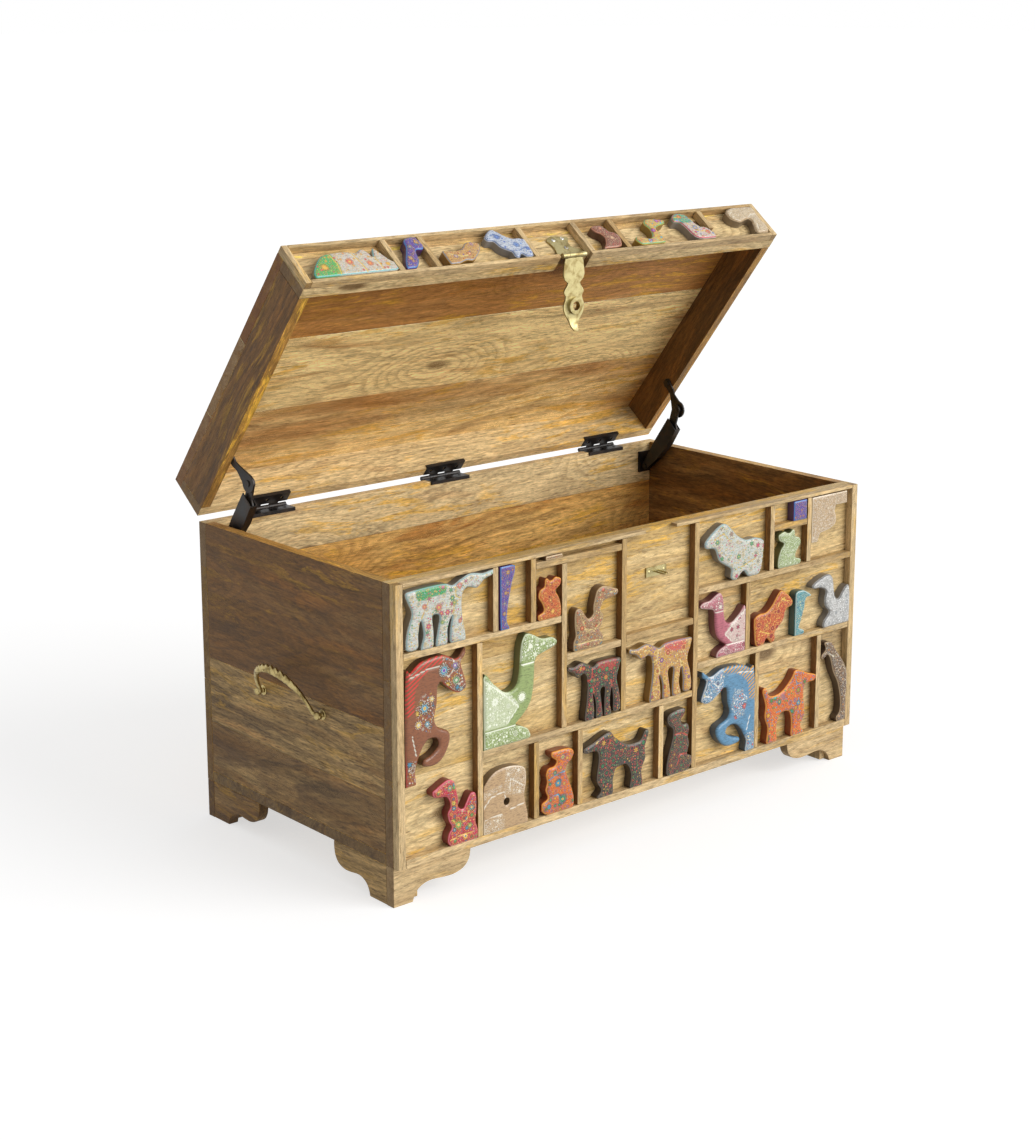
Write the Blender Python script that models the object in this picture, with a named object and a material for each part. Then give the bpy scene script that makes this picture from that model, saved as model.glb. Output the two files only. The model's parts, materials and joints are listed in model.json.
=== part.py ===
"""Wooden storage chest with a compartment front of carved animal blocks.

Every piece is its own object. Pieces are drawn where they lie with the lid closed,
then carried by empties that stand on the joints and hold the lid at its resting angle.
The two lid stays are drawn as they lie with the lid at rest.
"""

import math

import bmesh
import bpy
from mathutils import Matrix, Vector

# Overall sizes, in metres
WIDTH = 0.900
DEPTH = 0.461
FOOT_HEIGHT = 0.056
CASE_HEIGHT = 0.3906
RIM_GAP = 0.001
LID_HEIGHT = 0.072
BOARD = 0.016
FIT = 0.0003
OVERRUN = 0.004
REST_ANGLE = math.radians(52)

# Front frame of the case, its strips and its compartments
FRAME_DEPTH = 0.012
STILE = 0.012
TOP_LIP = 0.005
BOTTOM_RAIL = 0.012
DIVIDER = 0.0095
NOTCH_LEFT = -0.004
NOTCH_RIGHT = 0.057
NOTCH_RISE = 0.008

# Frame on the lid's front
LID_STILE = 0.010
LID_LIP = 0.006

# Feet
FOOT_FRONT_LENGTH = 0.132
FOOT_FRONT_PAD = 0.032
FOOT_SIDE_LENGTH = 0.134
FOOT_SIDE_PAD = 0.053
FOOT_BLOCK = 0.030
FOOT_BLOCK_LIFT = 0.002
FOOT_CURVE_SHARES = (
    (0.03, 0.14), (0.09, 0.28), (0.20, 0.38), (0.34, 0.41), (0.55, 0.375),
    (0.72, 0.375), (0.88, 0.46), (0.97, 0.63), (1.0, 0.84), (1.0, 1.0),
)

# Hinges
HINGE_LENGTH = 0.076
HINGE_SIDE_INSET = 0.1175
HINGE_SET_BACK = 0.008
HINGE_LEAF = 0.002
HINGE_LEAF_RISE = 0.0002
HINGE_LIP = 0.005
HINGE_BARREL_RADIUS = 0.0035
HINGE_PIN_RADIUS = 0.0015
HINGE_KNUCKLES = 5
HINGE_SCREW_RADIUS = 0.0027
HINGE_SCREW_SHARES = (0.16, 0.5, 0.84)

# Lid stays, as they lie with the lid at rest
STAY_PIVOT_OUT = 0.0097
STAY_PIVOT_DROP = 0.0378
STAY_FOOT_OUT = 0.0667
STAY_FOOT_RISE = 0.1052
STAY_FACE = 0.008
STAY_CHANNEL_DEPTH = 0.0124
STAY_WALL = 0.0015
STAY_CHANNEL_WIDTH = 0.0248
STAY_CHANNEL_BACK = 0.0030
STAY_CHANNEL_HEEL = 0.0060
STAY_CHANNEL_TOP = 0.1045
STAY_CHANNEL_LENGTHS_SHARES = (0.30, 0.62, 0.945)
STAY_STRAP = 0.003
STAY_STRAP_START = 0.058
STAY_KNEE_RADIUS = 0.0085
STAY_STRAP_SHOULDER_SHARE = 2 / 3
STAY_ARM = 0.003
STAY_ARM_ROUND = 0.014
STAY_ARM_FOOT = 0.008
STAY_ARM_NECK = 0.0055
STAY_ARM_JOGGLE_SHARES = (1 / 3, 2 / 3)
STAY_RIVET_RADIUS = 0.0025
STAY_RIVET_HEAD_RADIUS = 0.0048
STAY_RIVET_HEAD = 0.0013
STAY_BRACKET_WIDTH = 0.026
STAY_BRACKET_TOP = 0.024
STAY_BRACKET_BOTTOM = 0.011
STAY_BRACKET = 0.003
STAY_EAR = 0.004
STAY_EAR_RADIUS = 0.006

# Hasp
HASP_CENTRE = 0.0268
HASP_PIN_Z = 0.0074
HASP_PIN_FORWARD = 0.0067
HASP_BARREL_RADIUS = 0.004
HASP_PIN_RADIUS = 0.0015
HASP_BARREL_LEFT = 0.005
HASP_BARREL_RIGHT = 0.050
HASP_KNUCKLE = 0.012
HASP_PLATE = 0.0025
HASP_PLATE_HEIGHT = 0.0406
HASP_PLATE_WIDTH = 0.054
HASP_PLATE_LEFT = 0.0025
HASP_SCREW_RADIUS = 0.0035
HASP_SCREW_HEAD = 0.0016
HASP_FLAP = 0.0025
HASP_FLAP_LENGTH = 0.110
HASP_FLAP_HALF_WIDTH = 0.0205
HASP_COLLAR_PLACE = 0.0735
HASP_COLLAR_RADIUS = 0.0125
HASP_COLLAR_HEIGHT = 0.0055
HASP_HOLE_RADIUS = 0.0068
HASP_CURL_START = 0.098
HASP_CURL = 0.006
STAPLE_WIRE = 0.0013
STAPLE_HALF_SPACING = 0.0042
STAPLE_REACH = 0.0215
STAPLE_PLATE = 0.002
STAPLE_PLATE_LENGTH = 0.040
STAPLE_PLATE_HEIGHT = 0.014
STAPLE_SCREW_PLACE = 0.0145
STAPLE_SCREW_RADIUS = 0.0027
STAPLE_SCREW_HEAD = 0.0010

HASP_PLATE_SHARES = (
    (0.0, 0.79), (0.03, 0.86), (0.10, 0.93), (0.24, 1.0), (0.50, 0.96), (0.77, 0.90), (0.79, 0.83),
    (0.74, 0.76), (0.67, 0.62), (0.66, 0.44), (0.76, 0.31), (0.92, 0.27), (1.0, 0.22), (1.0, 0.10),
    (0.90, 0.0), (0.06, 0.0), (0.0, 0.08), (0.02, 0.15), (0.06, 0.28), (0.07, 0.44), (0.05, 0.60),
)
HASP_SCREW_PLACES_SHARES = ((0.22, 0.79), (0.56, 0.84), (0.47, 0.37))
HASP_FLAP_SHARES = (
    (0.04, 0.80), (0.10, 0.90), (0.19, 0.97), (0.26, 1.0), (0.32, 0.86), (0.365, 0.57), (0.40, 0.63),
    (0.45, 0.86), (0.48, 0.93), (0.51, 0.88), (0.54, 0.76), (0.59, 0.82), (0.64, 0.94), (0.67, 0.98),
    (0.71, 0.96), (0.77, 0.84), (0.83, 0.62), (0.88, 0.44), (0.92, 0.36), (0.96, 0.30), (1.0, 0.20),
)

# Drop handles on the sides
HANDLE_SPAN = 0.142
HANDLE_CENTRE_Y = 0.006
HANDLE_Z = 0.231
HANDLE_STAND_OFF = 0.009
HANDLE_BALL_RADIUS = 0.0056
HANDLE_STEM_RADIUS = 0.0036
HANDLE_ROSE_RADIUS = 0.0075
HANDLE_ROSE = 0.0016
HANDLE_PINTLE_RADIUS = 0.0020
HANDLE_PINTLE_OVERHANG = 0.003
HANDLE_LEG_RADIUS = 0.0028
HANDLE_GRIP_RADIUS = 0.0054
HANDLE_INSET = 0.016
HANDLE_RISE = 0.062
HANDLE_LEAN = math.radians(26)
HANDLE_RINGS = 30
HANDLE_ROPE_LOBES = 3
HANDLE_ROPE_SIDES = 9
HANDLE_ROPE_DEPTH_SHARE = 0.14
HANDLE_ROPE_TURNS = 2.0

# Carved figures
FIGURE_PROUD = 0.0022
FIGURE_RELIEF_PROUD = 0.0008

# Round pieces
ROUND_SIDES = 12
SMALL_ROUND_SIDES = 8
CURVE_STEPS = 2

# Sizes that follow
HALF_WIDTH = WIDTH / 2
FRONT_Y = -DEPTH / 2
BACK_Y = DEPTH / 2
FACE_Y = FRONT_Y + FRAME_DEPTH + FIT
INNER_FRONT_Y = FACE_Y + BOARD
INNER_BACK_Y = BACK_Y - BOARD
INNER_X = HALF_WIDTH - BOARD
RIM_Z = FOOT_HEIGHT + CASE_HEIGHT
LID_Z = RIM_Z + RIM_GAP
TOP_Z = LID_Z + LID_HEIGHT
LID_INNER_Z = TOP_Z - BOARD
SILL_Z = FOOT_HEIGHT + BOTTOM_RAIL
LIP_Z = RIM_Z - TOP_LIP
HINGE_SIDE_PLACE = HALF_WIDTH - HINGE_SIDE_INSET
HINGE_Y = BACK_Y + HINGE_SET_BACK
HINGE_Z = RIM_Z + RIM_GAP / 2
HASP_Y = FACE_Y - HASP_PIN_FORWARD
HASP_Z = RIM_Z + HASP_PIN_Z
STAPLE_Z = HASP_Z - HASP_COLLAR_PLACE
STAY_X = INNER_X - STAY_FACE
STAY_MIDDLE_X = STAY_X - STAY_CHANNEL_DEPTH / 2
STAY_PIVOT_Y = INNER_BACK_Y - STAY_PIVOT_OUT
STAY_PIVOT_Z = RIM_Z - STAY_PIVOT_DROP
STAY_FOOT_Y = HINGE_Y - STAY_FOOT_OUT
STAY_FOOT_Z = HINGE_Z + STAY_FOOT_RISE

# Upright dividers: left side as a share of the width between the stiles,
# then the strips below and above that they stand between.
UPRIGHTS_SHARES = (
    (0.173, "elephant", "long_left", "lip"),
    (0.2495, "giraffe", "long_left", "lip"),
    (0.314, "bird", "shelf_left", "short_top"),
    (0.141, "horse", "sill", "long_left"),
    (0.256, "tile", "sill", "shelf_left"),
    (0.349, "cat", "sill", "shelf_left"),
    (0.530, "low_middle", "sill", "shelf_left"),
    (0.443, "hasp_left", "shelf_left", "lip"),
    (0.608, "hasp_right", "sill", "lip"),
    (0.790, "upper_right", "long_right", "lip"),
    (0.884, "relief", "long_right", "lip"),
    (0.734, "middle_right", "shelf_right", "long_right"),
    (0.760, "low_right", "sill", "shelf_right"),
    (0.918, "tall_giraffe", "sill", "shelf_right"),
)

# Level dividers: lower side as a share of the height between sill and lip,
# then the strips left and right that they lie between.
LEVELS_SHARES = (
    (0.735, "long_left", "left", "bird"),
    (0.957, "short_top", "giraffe", "hasp_left"),
    (0.299, "shelf_left", "horse", "hasp_right"),
    (0.583, "middle_left", "bird", "hasp_left"),
    (0.594, "hasp_shelf", "hasp_left", "hasp_right"),
    (0.707, "long_right", "hasp_right", "right"),
    (0.404, "shelf_right", "hasp_right", "right"),
    (0.891, "block_shelf", "upper_right", "relief"),
)

LID_UPRIGHTS_SHARES = (
    (0.169, "elephant", 0.0),
    (0.241, "giraffe", 0.0),
    (0.4455, "hasp_left", 0.0),
    (0.5655, "hasp_right", 0.0),
    (0.649, "cat", 0.0),
    (0.864, "ram", 0.36),
)

# Outlines of the figures, as shares of each figure's own width and height
ELEPHANT_SHARES = (
    (0.0, 0.90), (0.10, 0.93), (0.27, 0.94), (0.44, 0.93), (0.53, 0.88), (0.62, 0.94), (0.74, 1.0),
    (0.88, 0.96), (1.0, 0.98), (0.99, 0.91), (0.89, 0.86), (0.81, 0.76), (0.71, 0.80), (0.65, 0.75),
    (0.63, 0.60), (0.64, 0.35), (0.67, 0.0), (0.51, 0.0), (0.50, 0.20), (0.52, 0.42), (0.47, 0.25),
    (0.46, 0.0), (0.34, 0.0), (0.36, 0.25), (0.38, 0.46), (0.30, 0.48), (0.31, 0.25), (0.30, 0.0),
    (0.17, 0.0), (0.20, 0.22), (0.17, 0.45), (0.14, 0.25), (0.13, 0.04), (0.0, 0.06), (0.02, 0.34),
    (0.07, 0.58), (0.03, 0.75),
)
HORSE_SHARES = (
    (0.02, 0.85), (0.10, 0.90), (0.24, 0.96), (0.42, 0.98), (0.63, 0.98), (0.80, 0.93), (0.88, 0.94),
    (0.98, 1.0), (0.98, 0.94), (0.91, 0.89), (0.95, 0.80), (1.0, 0.70), (0.95, 0.66), (0.87, 0.65),
    (0.76, 0.68), (0.64, 0.74), (0.58, 0.77), (0.53, 0.74), (0.51, 0.60), (0.47, 0.50), (0.52, 0.42),
    (0.70, 0.36), (0.71, 0.27), (0.62, 0.17), (0.49, 0.12), (0.30, 0.13), (0.29, 0.18), (0.42, 0.21),
    (0.54, 0.27), (0.50, 0.33), (0.38, 0.34), (0.28, 0.29), (0.20, 0.20), (0.15, 0.11), (0.16, 0.0),
    (0.0, 0.0),
)
CAMEL_SHARES = (
    (0.0, 0.88), (0.09, 0.92), (0.22, 0.97), (0.35, 1.0), (0.47, 0.95), (0.52, 0.83), (0.56, 0.68),
    (0.56, 0.57), (0.61, 0.52), (0.68, 0.51), (0.75, 0.59), (0.84, 0.70), (0.93, 0.70), (0.97, 0.62),
    (0.97, 0.43), (0.95, 0.27), (1.0, 0.13), (0.97, 0.0), (0.70, 0.0), (0.42, 0.0), (0.33, 0.08),
    (0.35, 0.19), (0.42, 0.28), (0.36, 0.38), (0.33, 0.50), (0.39, 0.58), (0.38, 0.67), (0.31, 0.75),
    (0.18, 0.77), (0.03, 0.80),
)
BIRD_SHARES = (
    (0.0, 0.68), (0.14, 0.60), (0.29, 0.50), (0.43, 0.53), (0.48, 0.66), (0.49, 0.80), (0.51, 0.92),
    (0.57, 1.0), (0.66, 0.98), (0.79, 0.92), (0.93, 0.91), (1.0, 0.86), (0.96, 0.82), (0.83, 0.79),
    (0.70, 0.74), (0.68, 0.54), (0.64, 0.36), (0.54, 0.25), (0.43, 0.17), (0.53, 0.13), (0.61, 0.08),
    (0.61, 0.0), (0.30, 0.0), (0.0, 0.0),
)
GIRAFFE_NECK_SHARES = (
    (0.0, 1.0), (1.0, 0.98), (0.78, 0.72), (0.53, 0.40), (0.43, 0.14), (0.62, 0.0), (0.03, 0.0),
)
CAT_SHARES = (
    (0.30, 0.99), (0.45, 1.0), (0.66, 1.0), (0.90, 0.97), (0.99, 0.89), (0.91, 0.79), (0.77, 0.72),
    (0.75, 0.62), (0.83, 0.48), (0.95, 0.28), (1.0, 0.12), (0.94, 0.0), (0.60, 0.0), (0.20, 0.0),
    (0.0, 0.10), (0.02, 0.21), (0.19, 0.27), (0.12, 0.41), (0.17, 0.54), (0.13, 0.66), (0.21, 0.75),
    (0.38, 0.76), (0.46, 0.83), (0.32, 0.91),
)
SITTING_CAT_SHARES = (
    (0.30, 0.96), (0.38, 1.0), (0.50, 0.93), (0.62, 0.94), (0.75, 0.99), (0.98, 0.92), (0.95, 0.77),
    (0.75, 0.66), (0.88, 0.50), (0.99, 0.25), (0.95, 0.0), (0.55, 0.0), (0.08, 0.0), (0.0, 0.13),
    (0.24, 0.22), (0.18, 0.40), (0.02, 0.57), (0.08, 0.74), (0.26, 0.80),
)
HORSE_HEAD_SHARES = (
    (0.0, 0.69), (0.07, 0.84), (0.24, 0.96), (0.49, 1.0), (0.77, 0.97), (0.94, 0.88), (0.96, 0.66),
    (0.92, 0.45), (1.0, 0.12), (0.98, 0.0), (0.50, 0.0), (0.0, 0.0),
)
GIRAFFE_SHARES = (
    (0.10, 0.99), (0.24, 1.0), (0.40, 0.97), (0.52, 0.89), (0.73, 0.78), (0.95, 0.63), (1.0, 0.46),
    (0.97, 0.23), (0.96, 0.0), (0.68, 0.0), (0.64, 0.06), (0.75, 0.11), (0.77, 0.25), (0.66, 0.46),
    (0.46, 0.62), (0.35, 0.77), (0.25, 0.84), (0.05, 0.80), (0.0, 0.85), (0.16, 0.91),
)
DOG_SHARES = (
    (0.52, 0.88), (0.60, 1.0), (0.72, 0.97), (0.84, 0.91), (1.0, 0.84), (0.96, 0.76), (0.80, 0.75),
    (0.77, 0.60), (0.80, 0.30), (0.73, 0.12), (0.79, 0.03), (0.73, 0.0), (0.56, 0.0), (0.55, 0.24),
    (0.50, 0.40), (0.34, 0.40), (0.27, 0.22), (0.28, 0.0), (0.10, 0.0), (0.11, 0.24), (0.05, 0.42),
    (0.06, 0.60), (0.0, 0.82), (0.06, 0.86), (0.14, 0.72), (0.34, 0.73),
)
SILVER_CAMEL_SHARES = (
    (0.0, 0.86), (0.12, 0.93), (0.30, 0.99), (0.44, 1.0), (0.53, 0.91), (0.56, 0.76), (0.60, 0.56),
    (0.70, 0.49), (0.79, 0.59), (0.88, 0.68), (0.98, 0.68), (1.0, 0.30), (0.99, 0.0), (0.66, 0.0),
    (0.34, 0.0), (0.32, 0.12), (0.42, 0.22), (0.46, 0.30), (0.36, 0.41), (0.33, 0.54), (0.36, 0.70),
    (0.22, 0.78), (0.03, 0.80),
)
RELIEF_ELEPHANT_SHARES = (
    (0.0, 1.0), (0.98, 1.0), (0.97, 0.72), (0.93, 0.60), (1.0, 0.46), (0.97, 0.32), (0.78, 0.24),
    (0.53, 0.20), (0.36, 0.18), (0.30, 0.10), (0.22, 0.0), (0.0, 0.0),
)
TURQUOISE_BIRD_SHARES = (
    (0.0, 0.82), (0.08, 0.98), (0.46, 1.0), (1.0, 0.84), (0.66, 0.80), (0.56, 0.58), (0.36, 0.31),
    (0.26, 0.17), (0.56, 0.09), (0.54, 0.0), (0.0, 0.0),
)
BLOCK_SHARES = ((0.0, 0.0), (1.0, 0.0), (1.0, 1.0), (0.0, 1.0))
DOME_ELEPHANT_SHARES = (
    (0.0, 0.14), (0.08, 0.50), (0.20, 0.84), (0.32, 0.94), (0.46, 0.96), (0.56, 0.93), (0.62, 0.86),
    (0.71, 1.0), (0.76, 0.86), (0.79, 0.64), (0.82, 0.84), (0.86, 1.0), (0.91, 0.74), (0.95, 0.48),
    (1.0, 0.30), (0.96, 0.0), (0.48, 0.0), (0.02, 0.0),
)
LID_GIRAFFE_SHARES = (
    (0.02, 0.0), (0.30, 0.0), (0.46, 0.12), (0.57, 0.28), (0.62, 0.46), (0.70, 0.57), (0.91, 0.57),
    (1.0, 0.70), (0.97, 0.85), (0.90, 1.0), (0.70, 0.99), (0.54, 0.94), (0.46, 0.84), (0.43, 0.70),
    (0.30, 0.50), (0.12, 0.25),
)
LID_BIRD_SHARES = (
    (0.0, 0.62), (0.01, 0.0), (0.22, 0.0), (0.44, 0.12), (0.62, 0.10), (0.90, 0.50), (1.0, 0.80),
    (0.94, 0.94), (0.81, 1.0), (0.67, 0.94), (0.52, 0.70), (0.36, 0.63), (0.15, 0.66),
)
COW_SHARES = (
    (0.0, 0.74), (0.14, 0.90), (0.31, 1.0), (0.44, 0.88), (0.55, 0.74), (0.70, 0.64), (0.86, 0.64),
    (1.0, 0.55), (0.99, 0.33), (0.94, 0.03), (0.76, 0.0), (0.66, 0.12), (0.54, 0.0), (0.45, 0.05),
    (0.45, 0.20), (0.35, 0.29), (0.24, 0.40), (0.17, 0.60), (0.03, 0.64),
)
LID_CAT_SHARES = (
    (0.06, 0.93), (0.28, 1.0), (0.52, 0.98), (0.64, 0.84), (0.70, 0.70), (0.90, 0.62), (1.0, 0.41),
    (0.80, 0.06), (0.40, 0.0), (0.0, 0.0), (0.20, 0.22), (0.33, 0.46), (0.28, 0.62), (0.12, 0.74),
)
LID_DOG_SHARES = (
    (0.59, 1.0), (0.80, 0.97), (1.0, 0.89), (0.97, 0.76), (0.80, 0.70), (0.68, 0.60), (0.67, 0.42),
    (0.70, 0.20), (0.64, 0.0), (0.38, 0.0), (0.10, 0.0), (0.0, 0.22), (0.09, 0.34), (0.24, 0.27),
    (0.36, 0.22), (0.47, 0.34), (0.52, 0.60), (0.48, 0.82),
)
PEACOCK_SHARES = (
    (0.04, 0.86), (0.18, 0.98), (0.36, 1.0), (0.51, 0.92), (0.57, 0.76), (0.63, 0.56), (0.72, 0.44),
    (0.86, 0.40), (1.0, 0.14), (0.93, 0.0), (0.60, 0.0), (0.38, 0.06), (0.29, 0.22), (0.25, 0.50),
    (0.17, 0.66), (0.0, 0.70),
)
RAM_SHARES = (
    (0.0, 0.80), (0.10, 0.93), (0.24, 0.98), (0.48, 1.0), (0.98, 0.96), (0.99, 0.70), (0.97, 0.48),
    (1.0, 0.22), (0.90, 0.0), (0.62, 0.0), (0.52, 0.08), (0.60, 0.30), (0.66, 0.46), (0.60, 0.55),
    (0.46, 0.52), (0.27, 0.46), (0.10, 0.53), (0.0, 0.66),
)

# Holes through the carved tiles, as shares of the tile, with a radius
TILE_HOLE_SHARES = (0.52, 0.44)
TILE_HOLE_RADIUS = 0.0055

# Each figure: its name, outline, compartment as left, right, lower and upper strips,
# its place in the compartment as shares, and whether it faces the other way.
FRONT_FIGURES_SHARES = (
    ("front_white_elephant", ELEPHANT_SHARES, ("left", "elephant", "long_left", "lip"),
     (0.02, 1.0, 0.0, 1.0), False),
    ("front_dark_elephant", ELEPHANT_SHARES, ("bird", "hasp_left", "shelf_left", "middle_left"),
     (0.0, 0.98, 0.0, 0.92), True),
    ("front_brown_horse", HORSE_SHARES, ("left", "horse", "sill", "long_left"),
     (0.0, 0.84, 0.37, 1.0), False),
    ("front_red_camel", CAMEL_SHARES, ("left", "horse", "sill", "long_left"), (0.36, 0.99, 0.0, 0.35), False),
    ("front_silver_camel", SILVER_CAMEL_SHARES, ("middle_right", "right", "shelf_right", "long_right"),
     (0.61, 1.0, 0.0, 0.82), False),
    ("front_green_bird", BIRD_SHARES, ("horse", "bird", "shelf_left", "long_left"),
     (0.0, 0.93, 0.0, 0.98), False),
    ("front_white_giraffe", GIRAFFE_SHARES, ("tall_giraffe", "right", "sill", "shelf_right"),
     (0.0, 1.0, 0.0, 0.91), False),
    ("front_orange_cat", CAT_SHARES, ("tile", "cat", "sill", "shelf_left"), (0.04, 0.89, 0.0, 0.82), False),
    ("front_orange_dog", DOG_SHARES, ("low_right", "tall_giraffe", "sill", "shelf_right"),
     (0.05, 0.99, 0.0, 0.70), False),
)

# Smaller figures that are one piece with the strips they are let into
SMALL_FIGURES_SHARES = (
    (ELEPHANT_SHARES, ("hasp_left", "hasp_right", "shelf_left", "hasp_shelf"), (0.03, 0.97, 0.0, 0.9), True),
    (RELIEF_ELEPHANT_SHARES, ("relief", "right", "long_right", "lip"), (0.0, 0.60, 0.28, 0.99), False),
    (HORSE_HEAD_SHARES, ("horse", "tile", "sill", "shelf_left"), (0.0, 0.87, 0.0, 0.80), False),
    (HORSE_SHARES, ("hasp_right", "low_right", "sill", "shelf_right"), (0.06, 1.0, 0.0, 0.96), True),
    (CAMEL_SHARES, ("bird", "hasp_left", "middle_left", "short_top"), (0.10, 0.92, 0.0, 0.66), True),
    (TURQUOISE_BIRD_SHARES, ("middle_right", "right", "shelf_right", "long_right"),
     (0.44, 0.60, 0.0, 0.68), False),
    (BIRD_SHARES, ("hasp_right", "middle_right", "shelf_right", "long_right"), (0.02, 0.98, 0.0, 0.96), True),
    (GIRAFFE_NECK_SHARES, ("elephant", "giraffe", "long_left", "lip"), (0.03, 0.49, 0.0, 0.99), False),
    (SITTING_CAT_SHARES, ("giraffe", "bird", "long_left", "short_top"), (0.04, 0.95, 0.0, 0.80), False),
    (SITTING_CAT_SHARES, ("upper_right", "relief", "long_right", "block_shelf"),
     (0.10, 0.80, 0.0, 0.96), True),
    (CAT_SHARES, ("low_middle", "hasp_right", "sill", "shelf_left"), (0.10, 1.0, 0.0, 0.88), True),
    (DOG_SHARES, ("cat", "low_middle", "sill", "shelf_left"), (0.0, 0.86, 0.0, 0.86), True),
    (COW_SHARES, ("hasp_right", "upper_right", "long_right", "lip"), (0.06, 0.90, 0.0, 0.90), False),
    (COW_SHARES, ("middle_right", "right", "shelf_right", "long_right"), (0.03, 0.41, 0.0, 0.76), True),
    (BLOCK_SHARES, ("giraffe", "hasp_left", "short_top", "lip"), (0.10, 0.29, 0.0, 0.98), False),
    (BLOCK_SHARES, ("upper_right", "relief", "block_shelf", "lip"), (0.55, 0.95, 0.0, 0.98), False),
    (BLOCK_SHARES, ("relief", "right", "long_right", "lip"), (0.58, 0.86, 0.80, 0.99), False),
)

LID_FIGURES_SHARES = (
    ("lid_green_elephant", DOME_ELEPHANT_SHARES, ("left", "elephant"), (0.06, 0.99, 0.0, 0.74), False),
    ("lid_purple_giraffe", LID_GIRAFFE_SHARES, ("elephant", "giraffe"), (0.02, 1.0, 0.0, 0.98), False),
    ("lid_yellow_bird", LID_BIRD_SHARES, ("giraffe", "hasp_left"), (0.08, 0.50, 0.0, 0.66), False),
    ("lid_blue_cow", COW_SHARES, ("giraffe", "hasp_left"), (0.60, 1.0, 0.0, 0.98), False),
    ("lid_red_cat", LID_CAT_SHARES, ("hasp_right", "cat"), (0.28, 0.98, 0.0, 0.80), False),
    ("lid_yellow_dog", LID_DOG_SHARES, ("cat", "ram"), (0.08, 0.54, 0.0, 0.86), False),
    ("lid_peacock", PEACOCK_SHARES, ("cat", "ram"), (0.64, 1.0, 0.0, 0.96), False),
    ("lid_cream_ram", RAM_SHARES, ("ram", "right"), (0.42, 1.0, 0.0, 0.98), False),
)

# Colour, roughness and metallic value of each material
LOOKS = {
    "mango wood": ((0.52, 0.36, 0.19), 0.6, 0.0),
    "side planks": ((0.30, 0.20, 0.11), 0.65, 0.0),
    "painted wood": ((0.62, 0.36, 0.22), 0.55, 0.0),
    "pale painted wood": ((0.75, 0.66, 0.52), 0.55, 0.0),
    "black iron": ((0.02, 0.02, 0.02), 0.4, 0.9),
    "brass": ((0.62, 0.50, 0.25), 0.3, 1.0),
    "steel": ((0.7, 0.7, 0.68), 0.3, 1.0),
}


def material(look):
    """Return the named material, made on first use."""
    found = bpy.data.materials.get(look)
    if found:
        return found
    colour, roughness, metallic = LOOKS[look]
    made = bpy.data.materials.new(look)
    made.use_nodes = True
    shader = made.node_tree.nodes["Principled BSDF"]
    shader.inputs["Base Color"].default_value = (*colour, 1.0)
    shader.inputs["Roughness"].default_value = roughness
    shader.inputs["Metallic"].default_value = metallic
    made.diffuse_color = (*colour, 1.0)
    return made


def clear_scene():
    """Remove every object from the open file."""
    for obj in list(bpy.data.objects):
        bpy.data.objects.remove(obj, do_unlink=True)


class Carrier:
    """An empty on a joint, at a place given with the lid closed."""

    def __init__(self, name, place, parent=None, turn=0.0):
        self.place = Vector(place)
        self.empty = bpy.data.objects.new(name, None)
        bpy.context.collection.objects.link(self.empty)
        if parent:
            self.empty.parent = parent.empty
            self.empty.location = self.place - parent.place
        self.empty.rotation_euler.x = turn


def add_object(name, bm, look, carrier, smooth=False):
    """Turn a finished bmesh into a named object on its carrier."""
    bmesh.ops.recalc_face_normals(bm, faces=bm.faces)
    mesh = bpy.data.meshes.new(name)
    bm.to_mesh(mesh)
    bm.free()
    mesh.materials.append(material(look))
    if smooth:
        mesh.shade_smooth()
        mesh.set_sharp_from_angle(angle=math.radians(35))
    obj = bpy.data.objects.new(name, mesh)
    bpy.context.collection.objects.link(obj)
    obj.parent = carrier.empty
    obj.location = -carrier.place
    return obj


def add_cutter(name, bm, carrier):
    """Add an object that only shapes another one."""
    cutter = add_object(name, bm, "steel", carrier)
    cutter.display_type = "WIRE"
    cutter.hide_render = True
    return cutter


def combine(obj, other, operation):
    """Join or cut an object with another by a Boolean."""
    boolean = obj.modifiers.new(other.name, "BOOLEAN")
    boolean.object = other
    boolean.operation = operation
    boolean.solver = "EXACT"
    boolean.use_self = operation == "UNION"
    return boolean


def add_fused(name, look, carrier, base, *others, smooth=False):
    """Make one object from a base and the meshes that are one piece with it."""
    obj = add_object(name, base, look, carrier, smooth)
    for index, other in enumerate(others, 1):
        combine(obj, add_cutter(f"{name}_part_{index}", other, carrier), "UNION")
    return obj


PLACES = {
    "X": lambda a, b, c: (c, a, b),
    "Y": lambda a, b, c: (a, c, b),
    "Z": lambda a, b, c: (a, b, c),
}


def add_plate(bm, axis, outline, low, high, holes=()):
    """Add a flat piece with any outline and holes, from low to high along an axis."""
    place = PLACES[axis]
    loops = [[bm.verts.new(place(a, b, low)) for a, b in loop] for loop in (outline, *holes)]
    if holes:
        edges = [bm.edges.new((loop[i - 1], loop[i])) for loop in loops for i in range(len(loop))]
        filled = bmesh.ops.triangle_fill(bm, edges=edges, use_beauty=True)
        faces = [item for item in filled["geom"] if isinstance(item, bmesh.types.BMFace)]
    else:
        faces = [bm.faces.new(loops[0])]
    shift = Vector(place(0, 0, high - low))
    far = {vert: bm.verts.new(vert.co + shift) for loop in loops for vert in loop}
    for face in faces:
        bm.faces.new([far[vert] for vert in reversed(face.verts)])
    for loop in loops:
        for i, vert in enumerate(loop):
            before = loop[i - 1]
            bm.faces.new((before, vert, far[vert], far[before]))
    return [*far, *far.values()]


def add_box(bm, x, y, z):
    """Add a box from pairs of ends."""
    outline = ((x[0], y[0]), (x[1], y[0]), (x[1], y[1]), (x[0], y[1]))
    return add_plate(bm, "Z", outline, z[0], z[1])


def box_object(name, look, carrier, x, y, z):
    """Make a one-box object."""
    bm = bmesh.new()
    add_box(bm, x, y, z)
    return add_object(name, bm, look, carrier)


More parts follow.
